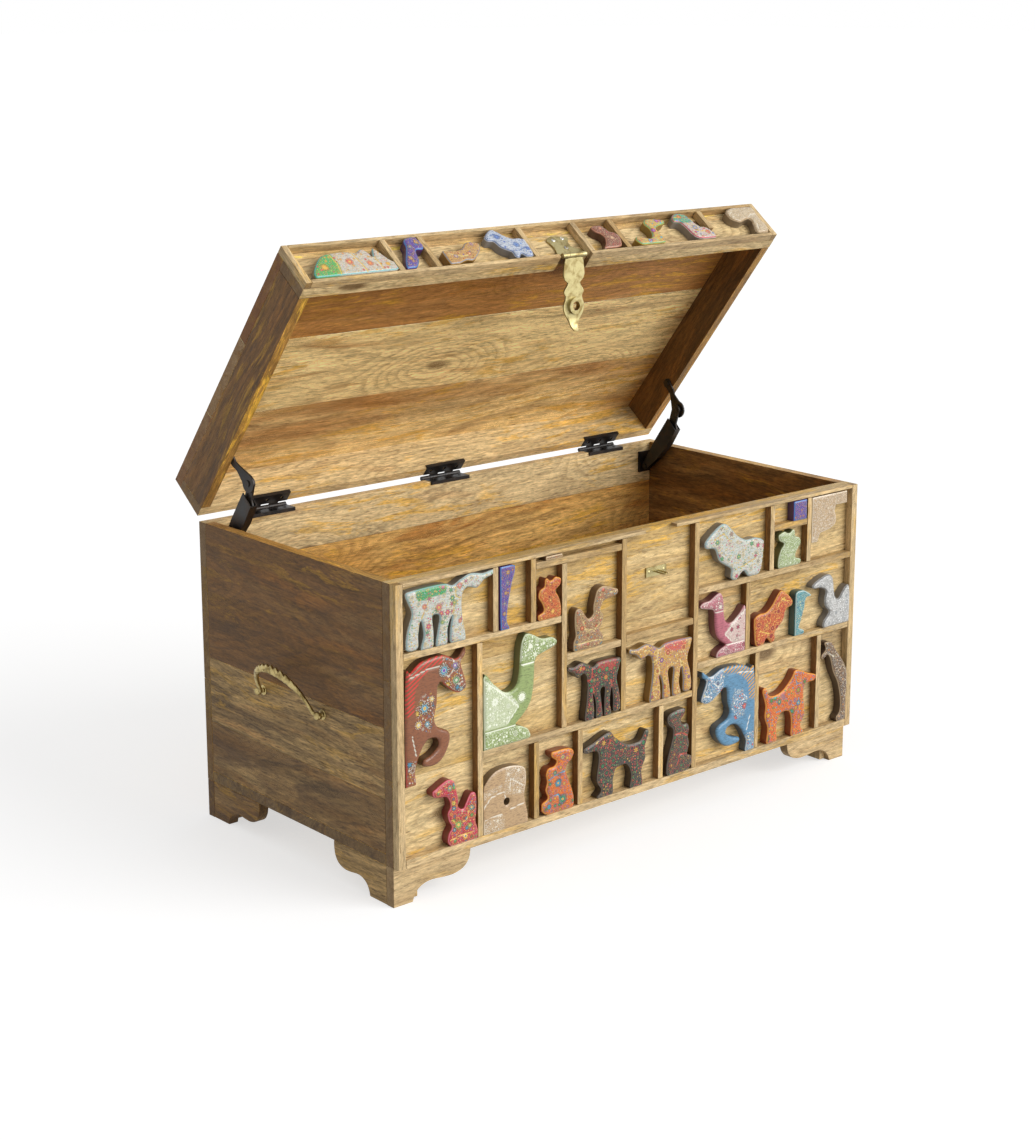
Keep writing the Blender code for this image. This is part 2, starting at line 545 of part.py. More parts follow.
def circle(a, b, radius, sides=ROUND_SIDES, start=0.0):
    """Points of a circle."""
    angles = [start + 2 * math.pi * i / sides for i in range(sides)]
    return [(a + radius * math.cos(angle), b + radius * math.sin(angle)) for angle in angles]


def bore(a, b, radius, sides=ROUND_SIDES):
    """Points of a round hole whose flats clear a pin of the given radius."""
    return circle(a, b, radius / math.cos(math.pi / sides), sides)


def add_turned(bm, axis, a, b, profile, sides=ROUND_SIDES):
    """Add a piece turned about an axis from (place along it, radius) pairs."""
    place = PLACES[axis]
    rings = []
    for along, radius in profile:
        rings.append([bm.verts.new(place(p, q, along)) for p, q in circle(a, b, radius, sides)])
    for ring, following in zip(rings, rings[1:]):
        for i in range(sides):
            bm.faces.new((ring[i - 1], ring[i], following[i], following[i - 1]))
    bm.faces.new(rings[0])
    bm.faces.new(list(reversed(rings[-1])))


def curve_through(points, steps=CURVE_STEPS):
    """Closed Catmull-Rom curve through points."""
    count = len(points)
    result = []
    for i in range(count):
        p0, p1, p2, p3 = (Vector(points[(i + k) % count]) for k in (-1, 0, 1, 2))
        for step in range(steps):
            t = step / steps
            bend = (p2 - p0) * t + (2 * p0 - 5 * p1 + 4 * p2 - p3) * t ** 2
            bend += (3 * p1 - p0 - 3 * p2 + p3) * t ** 3
            result.append(p1 + bend / 2)
    return result


def without_doubles(points):
    """Points of a closed outline without neighbours that coincide."""
    points = [Vector(point) for point in points]
    return [point for i, point in enumerate(points) if (point - points[i - 1]).length > FIT / 2]


def spans(low, high, count):
    """Split a length into equal pieces with a fitting gap between neighbours."""
    pitch = (high - low) / count
    gap = FIT / 2
    ends = []
    for i in range(count):
        start = low + pitch * i + (gap if i else 0)
        end = low + pitch * (i + 1) - (gap if i < count - 1 else 0)
        ends.append((start, end))
    return ends


# Case

SIDES = (("left", -1), ("right", 1))


def hinge_places():
    """X of the middle of each hinge."""
    return (-HINGE_SIDE_PLACE, 0.0, HINGE_SIDE_PLACE)


def hinge_recess():
    """Depth of the mortise that a hinge leaf lies in."""
    return HINGE_LEAF - HINGE_LEAF_RISE + FIT


def notched_edge(left, right, z, step, notches):
    """Points along an edge from left to right, with rectangular notches."""
    points = [(left, z)]
    for start, end in notches:
        points += [(start, z), (start, z + step), (end, z + step), (end, z)]
    points.append((right, z))
    return points


def hinge_notches():
    """Ends of the mortises along the rims."""
    half = HINGE_LENGTH / 2 + FIT
    return [(x - half, x + half) for x in hinge_places()]


def make_case_panels(case):
    """Sides, front, back and bottom."""
    inside_y = (INNER_FRONT_Y + FIT, INNER_BACK_Y - FIT)
    across = (-HALF_WIDTH, HALF_WIDTH)
    box_object("bottom_panel", "side planks", case, across, inside_y, (FOOT_HEIGHT, FOOT_HEIGHT + BOARD))
    box_object("front_panel", "mango wood", case, across, (FACE_Y, INNER_FRONT_Y), (FOOT_HEIGHT, RIM_Z))
    for word, side in SIDES:
        x = (side * INNER_X, side * HALF_WIDTH)
        box_object(f"{word}_side_panel", "side planks", case, x, inside_y, (FOOT_HEIGHT + BOARD + FIT, RIM_Z))
    edge = notched_edge(-HALF_WIDTH, HALF_WIDTH, RIM_Z, -hinge_recess(), hinge_notches())
    back = bmesh.new()
    add_plate(back, "Y", [(-HALF_WIDTH, FOOT_HEIGHT), *edge, (HALF_WIDTH, FOOT_HEIGHT)], INNER_BACK_Y, BACK_Y)
    add_object("back_panel", back, "side planks", case)


def foot_outline(start, length, pad):
    """Scroll-cut board: flat pad, then the curve up to the case."""
    top = FOOT_HEIGHT - FIT
    run = length - pad
    curve = [(pad + u * run, v * top) for u, v in FOOT_CURVE_SHARES]
    return [(start, 0), (pad, 0), *curve, (start, top)]


def make_feet(case):
    """Four corner feet, each of two scroll-cut boards glued round a block."""
    for end, corner_y, inward in (("front", FACE_Y, 1), ("back", BACK_Y, -1)):
        for word, side in SIDES:
            corner_x = side * HALF_WIDTH
            outline = foot_outline(0, FOOT_FRONT_LENGTH, FOOT_FRONT_PAD)
            facing = bmesh.new()
            outline = [(corner_x - side * u, v) for u, v in outline]
            add_plate(facing, "Y", outline, corner_y, corner_y + inward * BOARD)
            outline = foot_outline(BOARD / 2, FOOT_SIDE_LENGTH, FOOT_SIDE_PAD)
            outline = [(corner_y + inward * u, v) for u, v in outline]
            flank = bmesh.new()
            add_plate(flank, "X", outline, corner_x, corner_x - side * BOARD)
            block_x = corner_x - side * BOARD / 2
            block_y = corner_y + inward * BOARD / 2
            reach = BOARD / 2 + FOOT_BLOCK
            block = bmesh.new()
            add_box(block, (block_x, block_x - side * reach), (block_y, block_y + inward * reach),
                    (FOOT_BLOCK_LIFT, FOOT_HEIGHT - FIT))
            add_fused(f"{end}_{word}_foot", "mango wood", case, facing, flank, block)


def strip_edges(uprights, levels, low, high, bottom, top, thickness):
    """Left and right sides, and lower and upper sides, of every divider and border."""
    across = {"left": (None, low), "right": (high, None)}
    for share, name, *_ in uprights:
        left = low + share * (high - low)
        across[name] = (left, left + thickness)
    along = {"sill": (None, bottom), "lip": (top, None)}
    for share, name, *_ in levels:
        base = bottom + share * (top - bottom)
        along[name] = (base, base + thickness)
    return across, along


def case_strips():
    """Edges of the case's dividers and borders."""
    reach = HALF_WIDTH - STILE
    return strip_edges(UPRIGHTS_SHARES, LEVELS_SHARES, -reach, reach, SILL_Z, LIP_Z, DIVIDER)


def lid_strips():
    """Edges of the lid's dividers and borders."""
    reach = HALF_WIDTH - LID_STILE
    return strip_edges(LID_UPRIGHTS_SHARES, (), -reach, reach, LID_Z + LID_LIP, TOP_Z - LID_LIP, DIVIDER)


def frame_outline(stile, sill, lip, bottom, top, notch_on_top):
    """Frame round a field, open where the hasp passes through its lip."""
    half = HALF_WIDTH
    inner = HALF_WIDTH - stile
    if not notch_on_top:
        sill, lip, bottom, top = lip, sill, top, bottom
    return [(NOTCH_LEFT, top), (-half, top), (-half, bottom), (half, bottom), (half, top),
            (NOTCH_RIGHT, top), (NOTCH_RIGHT, lip), (inner, lip), (inner, sill),
            (-inner, sill), (-inner, lip), (NOTCH_LEFT, lip)]


def make_front_frame(case):
    """Applied stiles, bottom rail and top lip."""
    bm = bmesh.new()
    outline = frame_outline(STILE, SILL_Z, LIP_Z, FOOT_HEIGHT, RIM_Z, True)
    add_plate(bm, "Y", outline, FRONT_Y, FRONT_Y + FRAME_DEPTH)
    add_object("front_frame", bm, "mango wood", case)


def strip_end(strip, side, own):
    """Where a strip ends: inside a strip it is let into, or a fitting gap from a border."""
    edge = strip[1] if side < 0 else strip[0]
    other = strip[0] if side < 0 else strip[1]
    if other is None:
        return edge - side * FIT
    return (edge + other) / 2 if own else edge - side * FIT


def make_front_dividers(case):
    """Thin strips let into each other, with the small figures that are one piece with them."""
    across, along = case_strips()
    depth = (FRONT_Y, FRONT_Y + FRAME_DEPTH)
    levels = bmesh.new()
    for _, name, left, right in LEVELS_SHARES:
        x = (strip_end(across[left], -1, True), strip_end(across[right], 1, True))
        add_box(levels, x, depth, along[name])
    uprights = bmesh.new()
    for _, name, below, above in UPRIGHTS_SHARES:
        z = (strip_end(along[below], -1, True), strip_end(along[above], 1, True))
        add_box(uprights, across[name], depth, z)
    small = bmesh.new()
    for shares, strips, place, mirrored in SMALL_FIGURES_SHARES:
        box = figure_box(across, along, strips, place, True)
        holes = ()
        if shares is HORSE_HEAD_SHARES:
            holes = (circle(*in_box(TILE_HOLE_SHARES, box, mirrored), TILE_HOLE_RADIUS, SMALL_ROUND_SIDES),)
        outline = figure_outline(shares, box, mirrored)
        add_plate(small, "Y", outline, FRONT_Y - FIGURE_RELIEF_PROUD, depth[1], holes)
    add_fused("front_dividers", "mango wood", case, levels, uprights, small)


def figure_box(across, along, strips, place, let_in=False):
    """Left, right, bottom and top of a figure, clear of its strips or let into them."""
    left, right, below, above = strips
    near = (across[left], across[right], along[below], along[above])
    cell = [near[0][1] + FIT, near[1][0] - FIT, near[2][1] + FIT, near[3][0] - FIT]
    width = cell[1] - cell[0]
    height = cell[3] - cell[2]
    box = [cell[0] + place[0] * width, cell[0] + place[1] * width,
           cell[2] + place[2] * height, cell[2] + place[3] * height]
    for index, (strip, outward) in enumerate(zip(near, (-1, 1, -1, 1))):
        touches = place[index] == (0.0 if outward < 0 else 1.0)
        if let_in and touches and None not in strip:
            box[index] += outward * (FIT + DIVIDER / 2)
    return box


def in_box(share, box, mirrored):
    """Place of a share of width and height in a box."""
    left, right, bottom, top = box
    u = min(max(share[0], 0.0), 1.0)
    v = min(max(share[1], 0.0), 1.0)
    return left + (1 - u if mirrored else u) * (right - left), bottom + v * (top - bottom)


def figure_outline(shares, box, mirrored):
    """Points of a figure's outline in its box, smoothed unless it is a plain block."""
    if len(shares) > len(BLOCK_SHARES):
        shares = curve_through(shares)
    return without_doubles(in_box(share, box, mirrored) for share in shares)


def add_figure(name, look, carrier, shares, box, mirrored):
    """One carved figure as an object of its own."""
    bm = bmesh.new()
    add_plate(bm, "Y", figure_outline(shares, box, mirrored), FRONT_Y - FIGURE_PROUD, FRONT_Y + FRAME_DEPTH)
    add_object(name, bm, look, carrier)


def make_front_figures(case):
    """Carved and painted animals in the front's compartments."""
    across, along = case_strips()
    for name, shares, strips, place, mirrored in FRONT_FIGURES_SHARES:
        add_figure(name, "painted wood", case, shares, figure_box(across, along, strips, place), mirrored)


# Lid

def make_lid_panels(lid):
    """Top, with front, back and two sides under it."""
    across = (-HALF_WIDTH, HALF_WIDTH)
    box_object("lid_top_panel", "side planks", lid, across, (FACE_Y, BACK_Y), (LID_INNER_Z, TOP_Z))
    top = LID_INNER_Z - FIT
    hasp_notch = [(NOTCH_LEFT, NOTCH_RIGHT)]
    walls = (("lid_front_panel", "mango wood", NOTCH_RISE, hasp_notch, (FACE_Y, INNER_FRONT_Y)),
             ("lid_back_panel", "side planks", hinge_recess(), hinge_notches(), (INNER_BACK_Y, BACK_Y)))
    for name, look, step, notches, y in walls:
        edge = notched_edge(-HALF_WIDTH, HALF_WIDTH, LID_Z, step, notches)
        bm = bmesh.new()
        add_plate(bm, "Y", [(-HALF_WIDTH, top), *edge, (HALF_WIDTH, top)], *y)
        add_object(name, bm, look, lid)
    inside_y = (INNER_FRONT_Y + FIT, INNER_BACK_Y - FIT)
    for word, side in SIDES:
        x = (side * INNER_X, side * HALF_WIDTH)
        box_object(f"lid_{word}_panel", "side planks", lid, x, inside_y, (LID_Z, top))


def make_lid_frame(lid):
    """Applied frame on the lid's front, with the strips that stand in it."""
    across, along = lid_strips()
    depth = (FRONT_Y, FRONT_Y + FRAME_DEPTH)
    low = along["sill"][1]
    high = along["lip"][0]
    frame = bmesh.new()
    add_plate(frame, "Y", frame_outline(LID_STILE, low, high, LID_Z, TOP_Z, False), *depth)
    strips = bmesh.new()
    for _, name, lift in LID_UPRIGHTS_SHARES:
        foot = low + lift * (high - low) - (0 if lift else LID_LIP / 2)
        add_box(strips, across[name], depth, (foot, high + LID_LIP / 2))
    add_fused("lid_frame", "mango wood", lid, frame, strips)


def make_lid_figures(lid):
    """Carved and painted animals on the lid's front."""
    across, along = lid_strips()
    for name, shares, (left, right), place, mirrored in LID_FIGURES_SHARES:
        box = figure_box(across, along, (left, right, "sill", "lip"), place)
        add_figure(name, "pale painted wood", lid, shares, box, mirrored)


# Hinges

def knuckle_ends(left, index):
    """Ends of one knuckle along a hinge."""
    return spans(left, left + HINGE_LENGTH, HINGE_KNUCKLES)[index]


def add_leaf(bm, left, right, rim, upward):
    """Leaf flat on its rim, its back edge reaching under its own knuckles only."""
    front = INNER_BACK_Y - FIT - HINGE_LEAF
    back = HINGE_Y - (HINGE_PIN_RADIUS + FIT + HINGE_BARREL_RADIUS) / 2
    short = BACK_Y + FIT
    middle = (INNER_BACK_Y + BACK_Y) / 2
    outline = [(left, front), (left, short)]
    for index in own_knuckles(upward):
        start, end = knuckle_ends(left, index)
        outline += [(start, short), (start, back), (end, back), (end, short)]
    outline += [(right, short), (right, front)]
    outline = without_doubles(outline)
    places = [left + share * (right - left) for share in HINGE_SCREW_SHARES]
    holes = [bore(place, middle, HINGE_SCREW_RADIUS, SMALL_ROUND_SIDES) for place in places]
    face = rim + HINGE_LEAF_RISE * upward
    add_plate(bm, "Z", outline, face, face - HINGE_LEAF * upward, holes)


def own_knuckles(upward):
    """Knuckles that belong to a leaf: the case's are the odd ones out at both ends."""
    return range(0 if upward > 0 else 1, HINGE_KNUCKLES, 2)


def make_hinge(word, x, carrier, rim, upward):
    """One leaf with its lip over the inner edge, its knuckles, and on the case the pin."""
    left = x - HINGE_LENGTH / 2
    right = x + HINGE_LENGTH / 2
    leaf = bmesh.new()
    add_leaf(leaf, left, right, rim, upward)
    lip = bmesh.new()
    front = INNER_BACK_Y - FIT - HINGE_LEAF
    lip_z = (rim + (HINGE_LEAF_RISE - HINGE_LEAF / 2) * upward, rim - upward * HINGE_LIP)
    add_box(lip, (left, right), (front, front + HINGE_LEAF), lip_z)
    knuckles = bmesh.new()
    hole = bore(HINGE_Y, HINGE_Z, HINGE_PIN_RADIUS + FIT)
    for index in own_knuckles(upward):
        start, end = knuckle_ends(left, index)
        add_plate(knuckles, "X", circle(HINGE_Y, HINGE_Z, HINGE_BARREL_RADIUS), start, end, (hole,))
    parts = [lip, knuckles]
    if upward > 0:
        pin = bmesh.new()
        end_knuckle = knuckle_ends(left, 0)[1] - left
        grip = HINGE_BARREL_RADIUS - FIT
        profile = ((left + FIT, grip), (left + end_knuckle / 2, grip),
                   (left + end_knuckle / 2, HINGE_PIN_RADIUS), (right, HINGE_PIN_RADIUS))
        add_turned(pin, "X", HINGE_Y, HINGE_Z, profile)
        parts.append(pin)
    place = "case" if upward > 0 else "lid"
    add_fused(f"{word}_hinge_{place}_leaf", "black iron", carrier, leaf, *parts, smooth=True)


def make_hinges(case, lid):
    """Three butt hinges: leaves let into the rims, knuckles and pins behind."""
    for word, x in zip(("left", "middle", "right"), hinge_places()):
        make_hinge(word, x, case, RIM_Z, 1)
        make_hinge(word, x, lid, LID_Z, -1)


# Lid stays

HINGE = Vector((HINGE_Y, HINGE_Z))
PIVOT = Vector((STAY_PIVOT_Y, STAY_PIVOT_Z))
FOOT = Vector((STAY_FOOT_Y, STAY_FOOT_Z))
KNEE = FOOT + PIVOT - HINGE
STAY_LENGTH = (KNEE - PIVOT).length


def stay_point(along, across):
    """Point on a stay from its distance along pivot to knee and toward the front."""
    run = (KNEE - PIVOT) / STAY_LENGTH
    front = Vector((-run.y, run.x))
    return PIVOT + run * along + front * across


def channel_front_edge(inset):
    """Front crease of the channel, moved in by a wall."""
    first, second, top = (STAY_CHANNEL_TOP * share for share in STAY_CHANNEL_LENGTHS_SHARES)
    reach = STAY_CHANNEL_WIDTH - STAY_CHANNEL_BACK
    start = reach * (1 + first / second) / 2
    return [(first, start - inset), (second, reach - inset), (top, reach - inset)]


def make_stay_channel(name, side, carrier):
    """Folded channel, open to the rear, with a round heel at the bracket."""
    heel = [(-STAY_CHANNEL_HEEL * math.sin(a), -STAY_CHANNEL_HEEL * math.cos(a))
            for a in (math.pi * k / 8 for k in range(0, 8))]
    back = [(STAY_CHANNEL_TOP, -STAY_CHANNEL_BACK), (STAY_CHANNEL_TOP / 2, -STAY_CHANNEL_HEEL)]
    edge = channel_front_edge(0)
    outline = [*back, *heel, *edge]
    inner = side * (STAY_X - STAY_CHANNEL_DEPTH)
    outer = side * STAY_X
    hole = bore(PIVOT.x, PIVOT.y, STAY_RIVET_RADIUS + FIT)
    bm = bmesh.new()
    add_plate(bm, "X", [stay_point(u, v) for u, v in outline], inner, outer, (hole,))
    channel = add_object(name, bm, "black iron", carrier)

    inside = channel_front_edge(STAY_WALL)
    beyond = STAY_CHANNEL_TOP + OVERRUN
    rear = -STAY_CHANNEL_HEEL - OVERRUN
    front = STAY_CHANNEL_WIDTH + OVERRUN
    hollow = [(rear, rear), (beyond, rear), (beyond, inside[-1][1]), *reversed(inside[1:]),
              (inside[0][0], inside[0][1]), (inside[0][0], front), (rear, front)]
    hollow = [stay_point(u, v) for u, v in hollow]
    cutter = bmesh.new()
    add_plate(cutter, "X", hollow, inner + side * STAY_WALL, outer - side * STAY_WALL)
    combine(channel, add_cutter(name + "_hollow", cutter, carrier), "DIFFERENCE")


def arc(a, b, radius, start, end, steps):
    """Points of an arc from one angle to another, in degrees."""
    points = []
    for i in range(steps + 1):
        angle = math.radians(start + (end - start) * i / steps)
        points.append((a + radius * math.cos(angle), b + radius * math.sin(angle)))
    return points


def make_stay_strap(name, side, carrier):
    """Flat strap in the channel that runs on to the knee, with the knee's rivet."""
    inside = channel_front_edge(STAY_WALL + FIT)
    top = STAY_CHANNEL_TOP
    tip = arc(STAY_LENGTH, 0, STAY_KNEE_RADIUS, 100, -100, 8)
    outline = [(STAY_STRAP_START, 0), (STAY_STRAP_START, STAY_KNEE_RADIUS), inside[1], inside[2],
               (top, inside[2][1] * STAY_STRAP_SHOULDER_SHARE), *tip, (top, -STAY_CHANNEL_BACK)]
    ends = [side * (STAY_MIDDLE_X + k * STAY_STRAP / 2) for k in (-1, 1)]
    strap = bmesh.new()
    add_plate(strap, "X", [stay_point(u, v) for u, v in outline], *ends)
    rivet = bmesh.new()
    add_rivet(rivet, side, KNEE, (STAY_MIDDLE_X - STAY_STRAP / 2, STAY_X + FIT))
    collar = bmesh.new()
    spacer = ((STAY_MIDDLE_X, STAY_RIVET_HEAD_RADIUS), (STAY_X - STAY_ARM - FIT, STAY_RIVET_HEAD_RADIUS))
    add_turned(collar, "X", KNEE.x, KNEE.y, [(side * x, r) for x, r in spacer])
    add_fused(name, "black iron", carrier, strap, rivet, collar)


def make_stay_arm(name, side, carrier):
    """Joggled arm: a wide round end on the knee, a small eye on the lid's pin."""
    run = FOOT - KNEE
    length = run.length
    heading = math.degrees(math.atan2(run.y, run.x))
    along = run / length
    across = Vector((-along.y, along.x))
    knee_end = arc(KNEE.x, KNEE.y, STAY_ARM_ROUND, heading + 50, heading + 310, 12)
    foot_end = arc(FOOT.x, FOOT.y, STAY_ARM_FOOT, heading - 130, heading + 130, 10)
    bend, level = STAY_ARM_JOGGLE_SHARES
    near = KNEE + along * length / 2
    far = KNEE + along * length * level
    neck = across * STAY_ARM_NECK
    outline = [*knee_end, near - neck, far - neck, *foot_end, far + neck, near + neck]
    holes = (bore(KNEE.x, KNEE.y, STAY_RIVET_RADIUS + FIT), bore(FOOT.x, FOOT.y, STAY_RIVET_RADIUS + FIT))
    outer = STAY_X
    bm = bmesh.new()
    verts = add_plate(bm, "X", outline, side * (outer - STAY_ARM), side * outer, holes)
    step = INNER_X - FIT - outer
    for vert in verts:
        reach = (Vector((vert.co.y, vert.co.z)) - KNEE).dot(along) / length
        share = min(max((reach - bend) / (level - bend), 0.0), 1.0)
        vert.co.x += side * step * share
    add_object(name, bm, "black iron", carrier)


def add_rivet(bm, side, centre, ends):
    """Rivet along X with a head beyond each end."""
    low, high = ends
    profile = ((low - STAY_RIVET_HEAD, STAY_RIVET_HEAD_RADIUS), (low, STAY_RIVET_HEAD_RADIUS),
               (low, STAY_RIVET_RADIUS), (high, STAY_RIVET_RADIUS),
               (high, STAY_RIVET_HEAD_RADIUS), (high + STAY_RIVET_HEAD, STAY_RIVET_HEAD_RADIUS))
    add_turned(bm, "X", centre.x, centre.y, [(side * x, r) for x, r in profile])


def make_stay_bracket(name, side, case):
    """Plate on the back panel with an ear and the rivet for the stay's lower pivot."""
    plate_y = (INNER_BACK_Y - FIT - STAY_BRACKET, INNER_BACK_Y - FIT)
    x = [side * (STAY_MIDDLE_X + k * STAY_BRACKET_WIDTH / 2) for k in (-1, 1)]
    plate = bmesh.new()
    add_box(plate, x, plate_y, (STAY_PIVOT_Z - STAY_BRACKET_BOTTOM, STAY_PIVOT_Z + STAY_BRACKET_TOP))
    root = plate_y[0] + STAY_BRACKET / 2
    tip = arc(PIVOT.x, PIVOT.y, STAY_EAR_RADIUS, 90, 270, 8)
    outline = [(root, PIVOT.y + STAY_EAR_RADIUS), *tip, (root, PIVOT.y - STAY_EAR_RADIUS)]
    ear = bmesh.new()
    add_plate(ear, "X", outline, *(side * (STAY_MIDDLE_X + k * STAY_EAR / 2) for k in (-1, 1)))
    rivet = bmesh.new()
    add_rivet(rivet, side, PIVOT, (STAY_X - STAY_CHANNEL_DEPTH - FIT, STAY_X + FIT))
    add_fused(name, "black iron", case, plate, ear, rivet)


def make_foot_pin(name, side, lid):
    """Pin on the lid's side panel that holds the arm's eye."""
    turned = Matrix.Rotation(REST_ANGLE, 2) @ (FOOT - HINGE)
    foot = HINGE + turned
    face = INNER_X - FIT - STAY_ARM - FIT
    profile = ((face - STAY_RIVET_HEAD, STAY_RIVET_HEAD_RADIUS), (face, STAY_RIVET_HEAD_RADIUS),
               (face, STAY_RIVET_RADIUS), (INNER_X - FIT, STAY_RIVET_RADIUS))
    bm = bmesh.new()
    add_turned(bm, "X", foot.x, foot.y, [(side * x, r) for x, r in profile])
    add_object(name, bm, "black iron", lid, smooth=True)


def make_stays(case, lid):
    """Two folding lid stays: four-bar linkages of hinge line, bracket, knee and foot."""
    for word, side in SIDES:
        make_stay_bracket(f"{word}_stay_bracket", side, case)
        body = Carrier(f"{word}_stay_joint", (0, *PIVOT), case)
        make_stay_channel(f"{word}_stay_channel", side, body)
        make_stay_strap(f"{word}_stay_strap", side, body)
        knee = Carrier(f"{word}_knee_joint", (0, *KNEE), body)
        make_stay_arm(f"{word}_stay_arm", side, knee)
        make_foot_pin(f"{word}_stay_foot_pin", side, lid)


# Hasp

def make_hasp_plate(lid):
    """Bell-shaped plate with the short left knuckle."""
    face = FACE_Y - FIT
    base = HASP_Z + HASP_BARREL_RADIUS
    outline = [(HASP_PLATE_LEFT + u * HASP_PLATE_WIDTH, base + v * HASP_PLATE_HEIGHT)
               for u, v in HASP_PLATE_SHARES]
    bm = bmesh.new()
    add_plate(bm, "Y", outline, face - HASP_PLATE, face)
    rolled = bmesh.new()
    ends = (HASP_BARREL_LEFT, HASP_BARREL_LEFT + HASP_KNUCKLE)
    hole = bore(HASP_Y, HASP_Z, HASP_PIN_RADIUS + FIT)
    add_plate(rolled, "X", circle(HASP_Y, HASP_Z, HASP_BARREL_RADIUS), *ends, (hole,))
    tongue = bmesh.new()
    inner = HASP_Y + HASP_PIN_RADIUS + 2 * FIT
    add_box(tongue, ends, (inner, face - FIT), (HASP_Z + HASP_BARREL_RADIUS / 2, base + HASP_PLATE))
    screws = bmesh.new()
    front = face - HASP_PLATE
    for u, v in HASP_SCREW_PLACES_SHARES:
        profile = ((front + HASP_PLATE / 2, HASP_SCREW_RADIUS), (front, HASP_SCREW_RADIUS),
                   (front - HASP_SCREW_HEAD, HASP_SCREW_RADIUS / 2))
        place = (HASP_PLATE_LEFT + u * HASP_PLATE_WIDTH, base + v * HASP_PLATE_HEIGHT)
        add_turned(screws, "Y", *place, profile, SMALL_ROUND_SIDES)
    add_fused("hasp_plate", "brass", lid, bm, rolled, tongue, screws)


def make_hasp_pin(carrier):
    """Pin through the plate's knuckle and the flap's."""
    bm = bmesh.new()
    ends = (HASP_BARREL_LEFT - FIT, HASP_BARREL_RIGHT + FIT)
    add_turned(bm, "X", HASP_Y, HASP_Z, [(x, HASP_PIN_RADIUS) for x in ends])
    add_object("hasp_pin", bm, "brass", carrier, smooth=True)


def make_hasp_flap(carrier):
    """Hanging flap with waisted outline, raised collar, keyhole and curled tip."""
    half = [(v * HASP_FLAP_HALF_WIDTH, -u * HASP_FLAP_LENGTH) for u, v in HASP_FLAP_SHARES]
    outline = [(HASP_CENTRE + x, HASP_Z + z) for x, z in half]
    outline += [(HASP_CENTRE - x, HASP_Z + z) for x, z in reversed(half)]
    y = (HASP_Y - HASP_FLAP / 2, HASP_Y + HASP_FLAP / 2)
    collar = (HASP_CENTRE, STAPLE_Z)
    bm = bmesh.new()
    add_plate(bm, "Y", outline, *y)
    for vert in bm.verts:
        beyond = HASP_Z - vert.co.z - HASP_CURL_START
        if beyond > 0:
            share = beyond / (HASP_FLAP_LENGTH - HASP_CURL_START)
            vert.co.y -= HASP_CURL * share ** 2
    ring = bmesh.new()
    rim = y[0] - HASP_COLLAR_HEIGHT
    add_plate(ring, "Y", circle(*collar, HASP_COLLAR_RADIUS), rim, y[1] - HASP_FLAP / 2)
    rolled = bmesh.new()
    ends = (HASP_BARREL_LEFT + HASP_KNUCKLE + 2 * FIT, HASP_BARREL_RIGHT)
    pin_hole = bore(HASP_Y, HASP_Z, HASP_PIN_RADIUS + FIT)
    add_plate(rolled, "X", circle(HASP_Y, HASP_Z, HASP_BARREL_RADIUS), *ends, (pin_hole,))
    root = bmesh.new()
    shoulder = HASP_FLAP_SHARES[0]
    x = (ends[0], HASP_CENTRE + shoulder[1] * HASP_FLAP_HALF_WIDTH)
    top = HASP_Z - HASP_PIN_RADIUS - 2 * FIT
    within = (y[0] + FIT, y[1] - FIT)
    add_box(root, x, within, (HASP_Z - shoulder[0] * HASP_FLAP_LENGTH - HASP_FLAP, top))
    flap = add_fused("hasp_flap", "brass", carrier, bm, ring, rolled, root)
    drill = bmesh.new()
    add_plate(drill, "Y", circle(*collar, HASP_HOLE_RADIUS), rim - OVERRUN, y[1] + OVERRUN)
    combine(flap, add_cutter("hasp_flap_drill", drill, carrier), "DIFFERENCE")


def make_staple(case):
    """Plate on the recessed front board with a wire loop for a padlock."""
    face = FACE_Y - FIT
    front = face - STAPLE_PLATE
    bend = STAPLE_HALF_SPACING
    reach = front - STAPLE_REACH + STAPLE_WIRE
    bm = bmesh.new()
    x = [HASP_CENTRE + k * STAPLE_PLATE_LENGTH / 2 for k in (-1, 1)]
    z = [STAPLE_Z + k * STAPLE_PLATE_HEIGHT / 2 for k in (-1, 1)]
    add_box(bm, x, (front, face), z)
    path = [(-bend, front + STAPLE_PLATE / 2), (-bend, reach + bend)]
    angles = [math.pi * k / 6 for k in range(1, 6)]
    path += [(-bend * math.cos(angle), reach + bend - bend * math.sin(angle)) for angle in angles]
    path += [(bend, reach + bend), (bend, front + STAPLE_PLATE / 2)]
    loop = bmesh.new()
    points = [Vector((HASP_CENTRE + x, y, STAPLE_Z)) for x, y in path]
    add_tube(loop, points, [STAPLE_WIRE] * len(points), Vector((0, 0, 1)), SMALL_ROUND_SIDES)
    screws = bmesh.new()
    for side in (-1, 1):
        profile = ((front + STAPLE_PLATE / 2, STAPLE_SCREW_RADIUS), (front, STAPLE_SCREW_RADIUS),
                   (front - STAPLE_SCREW_HEAD, STAPLE_SCREW_RADIUS / 2))
        add_turned(screws, "Y", HASP_CENTRE + side * STAPLE_SCREW_PLACE, STAPLE_Z, profile, SMALL_ROUND_SIDES)
    add_fused("hasp_staple", "brass", case, bm, loop, screws)


